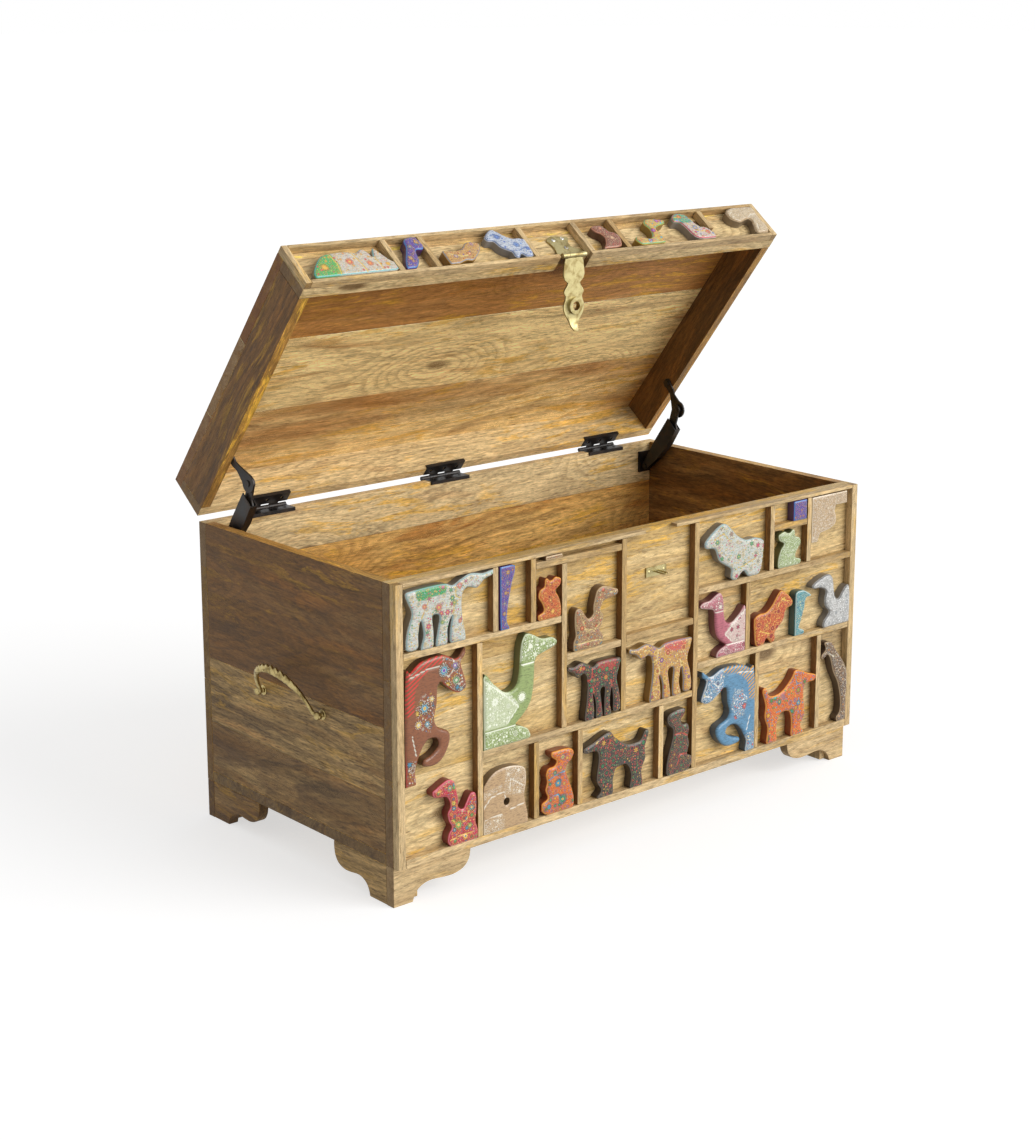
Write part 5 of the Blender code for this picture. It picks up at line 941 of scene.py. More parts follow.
def wood_grain():
    """Grain along X with arches, fibres, flecks, streaks and knots.

    The arches are the fractional part of a smooth stretched field. Each plank's number shifts its place in
    the field and its tone. End says how squarely a face cuts the grain, where the wood is dark.
    """
    found = bpy.data.node_groups.get("mango wood grain")
    if found:
        return found
    tree, given, result = new_group(
        "mango wood grain", ("Vector",), ("Light", "Warm", "Dark", "Yellow", "Rust"),
        ("Plank", "End", "Yellow share", "Dark share", "Rust share", "Pattern", "Contrast"),
        ("Height", "Roughness"))
    dark = given["Dark"]
    lot = tree.add("TexWhiteNoise", {"noise_dimensions": "1D"}, W=given["Plank"])
    place = tree.vector("ADD", given["Vector"], tree.stretched(lot.outputs["Color"], (23.0, 7.0, 11.0)))
    warp = tree.noise(place, (2.2, 7.0, 7.0), 2.0, 0.0, 0.5, "Color")
    bent = tree.vector("ADD", place, tree.stretched(tree.vector("SUBTRACT", warp, (0.5, 0.5, 0.5)),
                                                    (0.0, 0.075, 0.075)))
    x, y, z = tree.parts(place)
    face = tree.add("CombineXYZ", i0=tree.times(x, 2.9), i1=tree.times(tree.plus(y, z), 7.0)).outputs[0]
    knots = tree.add("TexVoronoi", {"voronoi_dimensions": "2D"}, Vector=face, Scale=1.0).outputs
    kept = tree.ramp(tree.tints(knots["Color"])[0], 0.52, 0.56)
    near = tree.times(tree.ramp(knots["Distance"], 0.50, 0.0), kept)
    fibre = tree.noise(bent, (20.0, 300.0, 300.0), 4.0, 0.0, 0.65)
    coarse = tree.noise(bent, (4.5, 65.0, 65.0), 6.0, 0.5, 0.68)
    speckle = tree.noise(place, (85.0, 430.0, 430.0), 3.0, 0.0, 0.7)
    field = tree.noise(bent, (0.9, 5.2, 5.2), 1.2, 0.0, 0.4)
    field = tree.fuse(coarse, 0.030, tree.plus(field, tree.times(near, 0.26)))
    saw = tree.math("FRACT", tree.times(field, 26.0))
    line = tree.times(tree.ramp(saw, 0.40, 0.92), tree.ramp(saw, 1.0, 0.95))
    broad = tree.noise(place, (1.9, 10.0, 10.0), 4.0, 0.9)
    tone = tree.fuse(tree.minus(tree.math("FRACT", given["Plank"]), 0.5), 0.62, broad)
    base = tree.mix(tree.ramp(tone, 0.34, 0.66), given["Light"], given["Warm"])
    where = tree.noise(tree.vector("ADD", place, (1.0, 7.0, 3.0)), (2.6, 9.0, 9.0), 3.0, 0.6)
    rust = tree.noise(tree.vector("ADD", bent, (8.0, 3.0, 1.0)), (3.0, 26.0, 26.0), 6.0, 0.8, 0.65)
    rust = tree.times(tree.ramp(rust, 0.53, 0.64), tree.ramp(where, 0.56, 0.46), given["Rust share"])
    base = tree.mix(rust, base, given["Rust"])
    base = tree.mix(tree.times(line, given["Pattern"]), base, dark)
    cloud = tree.noise(bent, (1.6, 15.0, 15.0), 6.0, 1.6, 0.64)
    base = tree.mix(tree.times(tree.ramp(cloud, 0.52, 0.66), given["Dark share"]), base, dark)
    jagged = tree.noise(tree.vector("ADD", bent, (4.0, 2.0, 9.0)), (8.0, 60.0, 60.0), 7.0, 0.6, 0.74)
    stain = tree.times(tree.ramp(jagged, 0.51, 0.57), tree.ramp(where, 0.46, 0.56), given["Yellow share"])
    base = tree.mix(stain, base, given["Yellow"])
    shade = 1.0
    for grain, depth in ((fibre, -1.5), (speckle, -1.7), (coarse, -1.3)):
        shade = tree.fuse(tree.minus(grain, 0.5), depth, shade)
    shade = tree.math("POWER", tree.most(shade, 0.25), given["Contrast"])
    base = tree.scaled(base, shade)
    fleck = tree.noise(place, (60.0, 480.0, 480.0), 1.0)
    base = tree.mix(tree.times(tree.ramp(fleck, 0.61, 0.70), 0.60), base, dark)
    core = tree.times(tree.ramp(tree.fuse(coarse, 0.09, knots["Distance"]), 0.135, 0.075), kept)
    base = tree.mix(tree.times(core, 0.88), base, tree.stretched(dark, (0.6, 0.6, 0.6)))
    base = tree.mix(tree.times(tree.ramp(given["End"], 0.75, 0.95), 0.60), base, dark)
    tree.put(result["Colour"], base)
    height = tree.minus(tree.times(fibre, -0.7), tree.times(line, 0.25))
    tree.put(result["Height"], tree.minus(height, tree.times(tree.ramp(fleck, 0.61, 0.70), 0.5)))
    tree.put(result["Roughness"], tree.fuse(coarse, 0.25, 0.42))
    return tree.tree


def folk_painting():
    """Painted ornament over a ground: flowers with beads, curled lines and small dots in the gaps.

    Tones hold the distance from the outline, the patch and the carved strokes. Cover keeps the ornament to
    its part of the figure, and the sides take the edge colour.
    """
    found = bpy.data.node_groups.get("folk painting")
    if found:
        return found
    tree, given, result = new_group(
        "folk painting", ("Vector", "Tones"), ("Ground", "Patch", "Petal one", "Petal two", "Dots", "Line"),
        ("Scale", "Cover", "Stripes", "Outline"), ("Height",))
    ground, dots_colour, line_colour = given["Ground"], given["Dots"], given["Line"]
    petal_colours = given["Petal one"], given["Petal two"]
    depth, patch, stroke = tree.parts(given["Tones"])
    place = tree.scaled(given["Vector"], given["Scale"])
    cells = tree.cells(place, 1.0, 0.8)
    away = tree.parts(tree.vector("SUBTRACT", place, cells["Position"]))
    angle = tree.math("ARCTAN2", away[1], away[0])
    distance = cells["Distance"]
    tint = tree.tints(cells["Color"])
    petal = tree.math("COSINE", tree.fuse(angle, 6.0, tree.times(tint[0], 6.0)))
    edge = tree.fuse(petal, 0.07, 0.26)
    flower = tree.ramp(tree.minus(edge, distance), -0.01, 0.03)
    rim = tree.ramp(tree.minus(edge, distance), -0.09, -0.05)
    heart = tree.ramp(distance, 0.11, 0.08)
    ring = tree.math("ABSOLUTE", tree.minus(distance, 0.40))
    beads = tree.times(tree.ramp(ring, 0.055, 0.03),
                       tree.ramp(tree.math("COSINE", tree.times(angle, 11.0)), 0.1, 0.5))
    small = tree.cells(place, 3.3, 0.6)
    small_tint = tree.tints(small["Color"])
    gap = tree.ramp(distance, 0.45, 0.50)
    dots = tree.times(tree.ramp(small["Distance"], 0.36, 0.27), gap)
    tiny = tree.cells(place, 7.5, 0.5)
    tiny_tint = tree.tints(tiny["Color"])
    swirl = tree.noise(place, (1.3, 1.3, 1.3), 0.0, 0.9)
    curl = tree.math("ABSOLUTE", tree.minus(tree.math("FRACT", tree.times(swirl, 8.0)), 0.5))
    curl = tree.times(tree.ramp(curl, 0.075, 0.035), gap)
    fine = tree.noise(given["Vector"], (150.0, 700.0, 1.0), 3.0, 0.8)
    base = tree.mix(tree.times(tree.ramp(fine, 0.48, 0.62), 0.45), ground, (0.25, 0.18, 0.14), "MULTIPLY")
    free = tree.times(tree.ramp(depth, 0.32, 0.42), given["Cover"])
    across, up, _ = tree.parts(given["Vector"])
    slope = tree.fuse(across, -0.6, up)
    hair = tree.ramp(tree.math("SINE", tree.times(slope, 1050.0)), 0.0, 0.5)
    hair = tree.most(hair, tree.minus(1.0, given["Stripes"]))
    base = tree.mix(tree.times(patch, hair), base, given["Patch"])
    base = tree.mix(tree.times(curl, free), base, line_colour)
    petals = tree.mix(tree.split(tint[1], 0.5), *petal_colours)
    spots = tree.mix(tree.split(small_tint[0], 0.5), dots_colour, petals)
    grains = tree.mix(tree.ramp(tiny_tint[0], 0.30, 0.35), line_colour,
                      tree.mix(tree.split(tiny_tint[1], 0.5), *petal_colours))
    base = tree.mix(tree.times(tree.ramp(tiny["Distance"], 0.38, 0.26), gap, free, 0.75), base, grains)
    base = tree.mix(tree.times(dots, free), base, spots)
    base = tree.mix(tree.times(rim, free, given["Outline"]), base, tree.stretched(ground, (0.2, 0.2, 0.2)))
    base = tree.mix(tree.times(flower, free), base, petals)
    base = tree.mix(tree.times(heart, free), base, dots_colour)
    base = tree.mix(tree.times(beads, free), base, dots_colour)
    band = tree.times(tree.ramp(depth, 0.12, 0.17), tree.ramp(depth, 0.38, 0.30), given["Cover"])
    base = tree.mix(tree.times(band, 0.85), base, line_colour)
    base = tree.mix(tree.times(tree.ramp(stroke, 0.35, 0.6), 0.9), base, dots_colour)
    worn = tree.noise(given["Vector"], (260.0, 260.0, 260.0), 4.0)
    base = tree.mix(tree.times(tree.ramp(worn, 0.56, 0.75), 0.30), base, (0.12, 0.08, 0.05), "MULTIPLY")
    base = tree.mix(tree.ramp(depth, 0.10, 0.03), base, tree.mix(0.72, ground, (0.05, 0.03, 0.02)))
    tree.put(result["Colour"], base)
    raised = tree.most(tree.most(beads, heart), tree.most(curl, dots))
    tree.put(result["Height"], tree.fuse(worn, 0.3, tree.times(raised, free)))
    return tree.tree


def rosette():
    """One flower over a base colour: scalloped petals, an outlined heart and a ring of dots outside."""
    found = bpy.data.node_groups.get("rosette")
    if found:
        return found
    tree, given, result = new_group("rosette", ("Vector", "Centre"), ("Base", "Petal", "Heart", "Ring"),
                                    ("Size", "Petals", "Free"), ())
    base, free = given["Base"], given["Free"]
    away = tree.vector("SUBTRACT", given["Vector"], given["Centre"])
    parts = tree.parts(away)
    length = tree.add("VectorMath", {"operation": "LENGTH"}, i0=away).outputs["Value"]
    distance = tree.math("DIVIDE", length, given["Size"])
    angle = tree.times(tree.math("ARCTAN2", parts[1], parts[0]), given["Petals"])
    edge = tree.fuse(tree.math("COSINE", angle), 0.10, 0.62)
    base = tree.mix(tree.times(tree.ramp(distance, 1.10, 1.02), free), base,
                    tree.mix(0.6, base, given["Petal"], "MULTIPLY"))
    spots = tree.times(tree.ramp(tree.math("ABSOLUTE", tree.minus(distance, 0.88)), 0.09, 0.05),
                       tree.ramp(tree.math("COSINE", tree.times(angle, 2.0)), 0.2, 0.6), free)
    base = tree.mix(spots, base, given["Ring"])
    shape = tree.minus(edge, distance)
    for value, low, high, colour in ((shape, -0.08, -0.03, "Ring"), (shape, -0.02, 0.03, "Petal"),
                                     (distance, 0.36, 0.32, "Ring"), (distance, 0.28, 0.23, "Heart")):
        base = tree.mix(tree.times(tree.ramp(value, low, high), free), base, given[colour])
    tree.put(result["Colour"], base)
    return tree.tree


def start_material(name):
    """A fresh node material, its tree and the inputs of its Principled shader."""
    material = bpy.data.materials.new(name)
    material.use_nodes = True
    return material, Tree(material.node_tree), material.node_tree.nodes["Principled BSDF"].inputs


def add_bump(tree, shader, height, strength, distance):
    """Raises a shader's surface by a height."""
    bump = tree.add("Bump", Height=height, Strength=strength, Distance=distance)
    tree.put(shader["Normal"], bump.outputs[0])


# Colour names, then the shares of yellow stain, dark cloud, arches and rust, and the contrast
WOODS = {
    "front wood": ("front", 0.70, 0.34, 0.28, 0.25, 0.95),
    "strip wood": ("strip", 0.35, 0.30, 0.22, 0.15, 0.9),
    "frame wood": ("strip", 0.35, 0.30, 0.22, 0.15, 0.9),
    "side wood": ("side", 0.30, 0.75, 0.42, 0.35, 1.20),
    "inside wood": ("inside", 0.80, 0.45, 0.34, 0.85, 1.1),
    "lid wood": ("lid", 0.75, 0.40, 0.34, 0.75, 1.0),
}
# Tints by the closed chest's axes: the sides' sawn edges are pale and the end grain dark, and the strips' flanks
# are darkened as painted shade
FACING_TINTS_AND_PAINTED_SHADE = {
    "side wood": ((2, (2.3, 2.5, 2.3)),),
    # Strip faces across X: painted shade on the upright strips' flanks, and the level strips' dark end grain
    "strip wood": ((0, (0.42, 0.30, 0.20)),),
    "lid wood": ((0, (0.62, 0.58, 0.62)), (1, (1.25, 1.75, 2.6))),
    "inside wood": ((0, (0.55, 0.62, 0.75)),),
    "front wood": ((0, (0.55, 0.50, 0.47)),),
}


def wood(name):
    """Planed mango wood, its grain along each board by the mesh's own attribute."""
    found = bpy.data.materials.get(name)
    if found:
        return found
    settings = bpy.context.scene.chest_wood
    tone, yellow, dark, pattern, rust, contrast = WOODS[name]
    material, tree, shader = start_material(name)
    light_colour, warm_colour, dark_colour = ((*getattr(settings, f"{tone}_{part}"), 1)
                                              for part in ("light", "warm", "dark"))
    grain = tree.add(
        "Group", {"node_tree": wood_grain()}, Vector=tree.attribute("grain", "Vector"),
        Plank=tree.attribute("plank"), End=tree.attribute("end"), Light=light_colour, Warm=warm_colour,
        Dark=dark_colour, Yellow=(*settings.yellow, 1), Yellow_share=yellow, Dark_share=dark, Pattern=pattern,
        Rust=(*settings.rust, 1), Rust_share=rust, Contrast=contrast).outputs
    base = grain["Colour"]
    facing = tree.parts(tree.attribute("facing", "Vector"))
    # Tints by facing; on the strips they include painted shade on the flanks
    for axis, tint in FACING_TINTS_AND_PAINTED_SHADE.get(name, ()):
        base = tree.mix(tree.ramp(facing[axis], 0.80, 0.95), base, tint, "MULTIPLY")
    tree.put(shader["Base Color"], base)
    tree.put(shader["Roughness"], grain["Roughness"])
    add_bump(tree, shader, grain["Height"], 0.4, 0.0006)
    tree.put(shader["Specular IOR Level"], 0.3)
    return material


def paint_material(name, paint, flowers, rosettes, stripes):
    """A painted or bare carved figure with its own single flowers."""
    material, tree, shader = start_material(f"{name} paint")
    colours = [(*colour, 1) for colour in (*PAINTS[paint], *SHARED_PAINTS)]
    ground, patch, petal_one, petal_two, dots, line = colours[:6]
    chart = tree.add("UVMap", {"uv_map": "paint"}).outputs[0]
    tones = tree.attribute("tones", "Vector")
    cover = tree.attribute("cover")
    painted = tree.add(
        "Group", {"node_tree": folk_painting()}, Vector=chart, Tones=tones, Ground=ground, Patch=patch,
        Petal_one=petal_one, Petal_two=petal_two, Dots=dots, Line=line, Scale=flowers, Cover=cover,
        Stripes=stripes, Outline=0.1 if paint in PALE else 0.85).outputs
    base = painted["Colour"]
    free = tree.ramp(tree.parts(tones)[0], 0.20, 0.30)
    for x, z, size, petals, petal, heart in rosettes:
        base = tree.add(
            "Group", {"node_tree": rosette()}, Base=base, Vector=chart, Centre=(x, z, 0), Size=size,
            Petals=float(petals), Petal=colours[petal], Heart=colours[heart], Ring=dots, Free=free).outputs[0]
    tree.put(shader["Base Color"], base)
    add_bump(tree, shader, painted["Height"], 0.55, 0.0005)
    tree.put(shader["Roughness"], 0.36)
    tree.put(shader["Coat Weight"], 0.25)
    return material


# Setting that holds the colour, the tarnish's colour, the roughness, how metallic, the share of dark spots
METALS = {
    "pale brass": ("brass", (0.24, 0.18, 0.07), 0.40, 1.0, 0.5),
    "aged brass": ("handle", (0.17, 0.115, 0.04), 0.33, 1.0, 0.5),
    "black iron": ("iron", (0.030, 0.019, 0.012), 0.36, 0.35, 0.6),
    "screw steel": ("steel", (0.28, 0.27, 0.26), 0.34, 1.0, 0.5),
}


def metal(name):
    """Metal with tarnish in soft patches, darker spots and fine scratches."""
    found = bpy.data.materials.get(name)
    if found:
        return found
    setting, dark, rough, metallic, spots = METALS[name]
    colour = tuple(getattr(bpy.context.scene.chest_metal, setting))
    material, tree, shader = start_material(name)
    coordinates = tree.add("TexCoord").outputs["Object"]
    patches = tree.noise(coordinates, (75.0, 75.0, 75.0), 5.0, 0.5)
    base = tree.mix(tree.ramp(patches, 0.40, 0.68), colour, dark)
    speck = tree.noise(coordinates, (420.0, 420.0, 420.0), 3.0)
    base = tree.mix(tree.times(tree.ramp(speck, 0.58, 0.70), spots), base, dark)
    tree.put(shader["Base Color"], base)
    fine = tree.noise(coordinates, (900.0, 900.0, 300.0), 2.0)
    tree.put(shader["Roughness"], tree.fuse(patches, 0.35, rough - 0.15))
    add_bump(tree, shader, fine, 0.15, 0.0003)
    tree.put(shader["Metallic"], metallic)
    return material


# Settings

def colour_property(name, description, default):
    """A colour setting."""
    return FloatVectorProperty(name=name, description=description, subtype="COLOR", default=default,
                               min=0, max=1)


class ChestWoodSettings(PropertyGroup):
    """Colours of the mango wood."""

    front_light: colour_property("Front light", "Light wood of the front", (0.68, 0.51, 0.26))
    front_warm: colour_property("Front warm", "Warmer wood of the front", (0.5, 0.335, 0.125))
    front_dark: colour_property("Front dark", "Dark lines of the front", (0.21, 0.11, 0.036))
    strip_light: colour_property("Strip light", "Light wood of frames and strips", (0.62, 0.455, 0.24))
    strip_warm: colour_property("Strip warm", "Warmer wood of frames and strips", (0.47, 0.315, 0.135))
    strip_dark: colour_property("Strip dark", "Dark lines of frames and strips", (0.18, 0.095, 0.035))
    side_light: colour_property("Side light", "Light wood of the sides", (0.46, 0.3, 0.125))
    side_warm: colour_property("Side warm", "Warmer wood of the sides", (0.19, 0.09, 0.024))
    side_dark: colour_property("Side dark", "Dark lines of the sides", (0.068, 0.036, 0.015))
    inside_light: colour_property("Inside light", "Light wood of the inside", (0.76, 0.48, 0.155))
    inside_warm: colour_property("Inside warm", "Warmer wood of the inside", (0.58, 0.285, 0.06))
    inside_dark: colour_property("Inside dark", "Dark lines of the inside", (0.2, 0.08, 0.018))
    lid_light: colour_property("Lid light", "Light wood under the lid", (1, 0.76, 0.35))
    lid_warm: colour_property("Lid warm", "Warmer wood under the lid", (0.52, 0.245, 0.07))
    lid_dark: colour_property("Lid dark", "Dark lines under the lid", (0.22, 0.085, 0.022))
    yellow: colour_property("Yellow stain", "Turmeric yellow left in the grain", (0.74, 0.41, 0.040))
    rust: colour_property("Rust stain", "Orange brown stain in the grain", (0.42, 0.165, 0.030))
    rounding: FloatProperty(name="Edge rounding", description="Radius of the boards' edges", default=0.0010,
                            min=0.0002, max=0.003, unit="LENGTH")


class ChestPaintSettings(PropertyGroup):
    """Scale of the painted flowers."""

    flowers: FloatProperty(name="Flowers across", description="How many painted flowers span a figure",
                           default=7.0, min=1, max=20)


class ChestMetalSettings(PropertyGroup):
    """Colours of the hardware."""

    brass: colour_property("Hasp brass", "Pale brass of the hasp", (0.44, 0.38, 0.19))
    handle: colour_property("Handle brass", "Antique brass of the handles", (0.50, 0.40, 0.18))
    iron: colour_property("Iron", "Lacquer of the hinges and stays", (0.014, 0.013, 0.013))
    steel: colour_property("Steel", "Bright steel of the screws", (0.60, 0.60, 0.58))


class ChestStageSettings(PropertyGroup):
    """Light round the chest."""

    sun: FloatProperty(name="Key light", description="Strength of the soft light from the front right",
                       default=2.7, min=0, max=10)
    fill: FloatProperty(name="Fill light", description="Brightness of the light from all round",
                        default=0.52, min=0, max=3)


# Operators

def seamed(low, high, cuts):
    """Neighbouring spans from low to high, cut at shares of the whole."""
    places = low + (high - low) * np.array([0.0, *cuts, 1.0])
    return list(zip(places[:-1] + FIT / 3, places[1:] - FIT / 3))


def mortised(level, depth):
    """Corners of a board's edge with the three hinge mortises, from left to right."""
    corners = [(-HALF, level)]
    for place in HINGE_PLACES:
        near, far = place - LEAF_HALF, place + LEAF_HALF
        corners += [(near, level), (near, level + depth), (far, level + depth), (far, level)]
    return corners


def add_board(name, edge, span, mark, kind, lid, *nodes):
    """One board across the chest with a shaped edge, between two depths."""
    shape = Shape()
    shape.tube(prism(edge, "Y", *span, bpy.context.scene.chest_wood.rounding * PLANK_ROUNDING), mark)
    shape.finish(name, wood(kind), "lid" if lid else "case", nodes, lid)


class CHEST_OT_panels(Operator):
    """Builds the case's sides, front, back and bottom and the lid from glued planks"""

    bl_idname = "chest.panels"
    bl_label = "Planked panels"

    def execute(self, context):
        rounding = context.scene.chest_wood.rounding * PLANK_ROUNDING
        near, far = IN_FRONT + FIT, IN_BACK - FIT
        for number, (word, side) in enumerate(SIDES):
            inner, outer = side * IN_X, side * HALF
            shape = Shape()
            spans = seamed(FLOOR_Z + BOARD + FIT, RIM, (0.205, 0.467))
            for mark, (low, high) in zip(SIDE_PLANKS[number], spans):
                shape.box((inner, near, low), (outer, far, high), rounding, mark, "Y")
            shape.finish(f"{word}_side_planks", wood("side wood"), "case", [f"{word}_side_panel"])
            shape = Shape()
            shape.box((inner, near, LID_LOW), (outer, far, LID_INNER - FIT), rounding, 2.8 + number, "Y")
            shape.finish(f"lid_{word}_plank", wood("side wood"), "lid", [f"lid_{word}_panel"], True)
        shape = Shape()
        for k, (low, high) in enumerate(seamed(FLOOR_Z, RIM, (0.31, 0.66))):
            shape.box((-HALF, FACE, low), (HALF, IN_FRONT, high), rounding, 4.3 + 1.15 * k)
        shape.finish("front_planks", wood("front wood"), "case", ["front_panel"])
        shape = Shape()
        for k, (low, high) in enumerate(seamed(near, far, (0.33, 0.68))):
            shape.box((-HALF, low, FLOOR_Z), (HALF, high, FLOOR_Z + BOARD), rounding, 7.4 + k)
        shape.finish("bottom_planks", wood("side wood"), "case", ["bottom_panel"])
        self.back(rounding)
        self.lid(rounding)
        return {"FINISHED"}

    def back(self, rounding):
        """Back planks, the upper one with the hinge mortises."""
        seam = RIM - 0.066
        edge = [*mortised(RIM, -MORTISE), (HALF, RIM), (HALF, seam + FIT / 3), (-HALF, seam + FIT / 3)]
        add_board("back_upper_plank", edge, (IN_BACK, BACK), 8.15, "front wood", False, "back_panel")
        shape = Shape()
        for k, (low, high) in enumerate(seamed(FLOOR_Z, seam, (0.48,))):
            shape.box((-HALF, IN_BACK, low), (HALF, BACK, high - FIT / 3), rounding, 9.5 + k)
        shape.finish("back_planks", wood("inside wood"), "case")

    def lid(self, rounding):
        """Lid top of three planks, its front with the hasp's notch and its back with the mortises."""
        shape = Shape()
        for mark, (low, high) in zip(LID_PLANKS, seamed(FACE, BACK, (0.35, 0.676))):
            shape.box((-HALF, low, LID_INNER), (HALF, high, LID_TOP), rounding, mark)
        shape.finish("lid_top_planks", wood("lid wood"), "lid", ["lid_top_panel"], True)
        top = LID_INNER - FIT
        upper = [(HALF, LID_LOW), (HALF, top), (-HALF, top)]
        left, right = NOTCH
        level = LID_LOW + NOTCH_HEIGHT
        edge = [(-HALF, LID_LOW), (left, LID_LOW), (left, level), (right, level), (right, LID_LOW), *upper]
        add_board("lid_front_plank", edge, (FACE, IN_FRONT), 16.2, "front wood", True, "lid_front_panel")
        edge = [*mortised(LID_LOW, MORTISE), *upper]
        add_board("lid_back_plank", edge, (IN_BACK, BACK), 17.1, "front wood", True, "lid_back_panel")


class CHEST_OT_feet(Operator):
    """Builds the four scroll-cut corner feet"""

    bl_idname = "chest.feet"
    bl_label = "Scroll feet"

    curve = shares(3, 14, 9, 28, 20, 38, 34, 41, 55, 37.5, 72, 37.5, 88, 46, 97, 63, 100, 84, 100, 100)
    block, block_low = 0.030, 0.002

    def outline(self, start, length, pad):
        """Flat pad, then the scroll up to the case."""
        top = FLOOR_Z - FIT
        points = [(pad + u * (length - pad), v * top) for u, v in self.curve]
        return np.concatenate([[(start, 0.0)], smooth_path([(pad, 0.0), *points]), [(start, top)]])

    def execute(self, context):
        rounding = context.scene.chest_wood.rounding
        number = 20.0
        for end, corner_y, inward in (("front", FACE, 1), ("back", BACK, -1)):
            for word, side in SIDES:
                number += 1.3
                corner_x = side * HALF
                shape = Shape()
                facing = self.outline(0, length=0.132, pad=0.032)
                facing[:, 0] = corner_x - side * facing[:, 0]
                shape.tube(prism(facing, "Y", corner_y, corner_y + inward * BOARD, rounding), number)
                low = (corner_x - side * BOARD / 2, corner_y + inward * BOARD / 2, self.block_low)
                block = BOARD / 2 + self.block
                shape.box(low, (low[0] - side * block, low[1] + inward * block, FLOOR_Z - FIT), rounding,
                          number + 0.5, "Z")
                kind = "frame wood" if end == "front" else "side wood"
                shape.finish(f"{end}_{word}_foot_front", wood(kind), "case")
                shape = Shape()
                flank = self.outline(BOARD, length=0.134, pad=0.053)
                flank[:, 0] = corner_y + inward * flank[:, 0]
                shape.tube(prism(flank, "X", corner_x, corner_x - side * BOARD, rounding), number + 0.8, "Y")
                shape.finish(f"{end}_{word}_foot_side", wood("side wood"), "case", [f"{end}_{word}_foot"])
        return {"FINISHED"}


class CHEST_OT_strips(Operator):
    """Builds the frames and compartment strips of the case's and the lid's front"""

    bl_idname = "chest.strips"
    bl_label = "Frames and strips"

    def execute(self, context):
        rounding = context.scene.chest_wood.rounding
        self.case(rounding)
        self.lid(rounding)
        return {"FINISHED"}

    def bar(self, shape, x, z, rounding, mark, axis="X", front=FRONT):
        """A bar of the frame's depth between two places across and two up."""
        shape.box((x[0], front, z[0]), (x[1], FRONT + FRAME_DEPTH, z[1]), rounding, mark, axis)

    def case(self, rounding):
        """The case's frame, with a gap for the hasp in its upper rail, and its strips."""
        across, along = case_strips()
        sill, lip = along["sill"][1], along["lip"][0]
        inner = HALF - CASE_STILE
        butt = inner - FIT / 2
        shape = Shape()
        for side in (-1, 1):
            self.bar(shape, (side * inner, side * HALF), (FLOOR_Z, RIM), rounding, 30.0 + side, "Z")
        self.bar(shape, (-butt, butt), (FLOOR_Z, sill), rounding, 33.1)
        self.bar(shape, (-butt, NOTCH[0]), (lip, RIM), rounding, 34.2)
        self.bar(shape, (NOTCH[1], butt), (lip, RIM), rounding, 34.4)
        shape.finish("front_rails", wood("frame wood"), "case", ["front_frame"])
        shape = Shape()
        for k, (_, name, left, right) in enumerate(LEVELS):
            x = (across[left][1] + FIT, across[right][0] - FIT)
            self.bar(shape, x, along[name], rounding, 36.0 + 1.7 * k, "X", FRONT + LEVEL_INSET)
        for k, (_, name, below, above) in enumerate(UPRIGHTS):
            z = (along[below][1] + FIT, along[above][0] - FIT)
            self.bar(shape, across[name], z, rounding, 50.0 + 1.7 * k, "Z")
        shape.finish("front_strips", wood("strip wood"), "case", ["front_dividers"])

    def lid(self, rounding):
        """The lid's frame, with a gap for the hasp in its lower rail, and its strips."""
        across, along = lid_strips()
        low, high = along["sill"][1], along["lip"][0]
        inner = HALF - LID_STILE
        butt = inner - FIT / 2
        shape = Shape()
        for side in (-1, 1):
            self.bar(shape, (side * inner, side * HALF), (LID_LOW, LID_TOP), rounding, 71.0 + side, "Z")
        self.bar(shape, (-butt, NOTCH[0]), (LID_LOW, low), rounding, 73.3)
        self.bar(shape, (NOTCH[1], butt), (LID_LOW, low), rounding, 74.4)
        self.bar(shape, (-butt, butt), (high, LID_TOP), rounding, 75.5)
        for k, (_, name, lift) in enumerate(LID_UPRIGHTS):
            self.bar(shape, across[name], (low + lift * (high - low), high), rounding, 77 + 1.7 * k, "Z")
        shape.finish("lid_rails", wood("frame wood"), "lid", ["lid_frame"], True)


class CHEST_OT_figures(Operator):
    """Carves and paints the animals of the case's and the lid's compartments"""

    bl_idname = "chest.figures"
    bl_label = "Carved animals"

    def execute(self, context):
        across, along = case_strips()
        for name, kind, strips, place, mirrored, paint in FRONT_FIGURES:
            nodes = [f"front_{name}"] if name in SEPARATE else ()
            add_figure(name, kind, figure_box(across, along, strips, place), mirrored, paint, "case", nodes)
        across, along = lid_strips()
        for name, kind, strips, place, paint in LID_FIGURES:
            box = figure_box(across, along, (*strips, "sill", "lip"), place)
            add_figure(f"lid_{name}", kind, box, False, paint, "lid", [f"lid_{name}"], True)
        return {"FINISHED"}


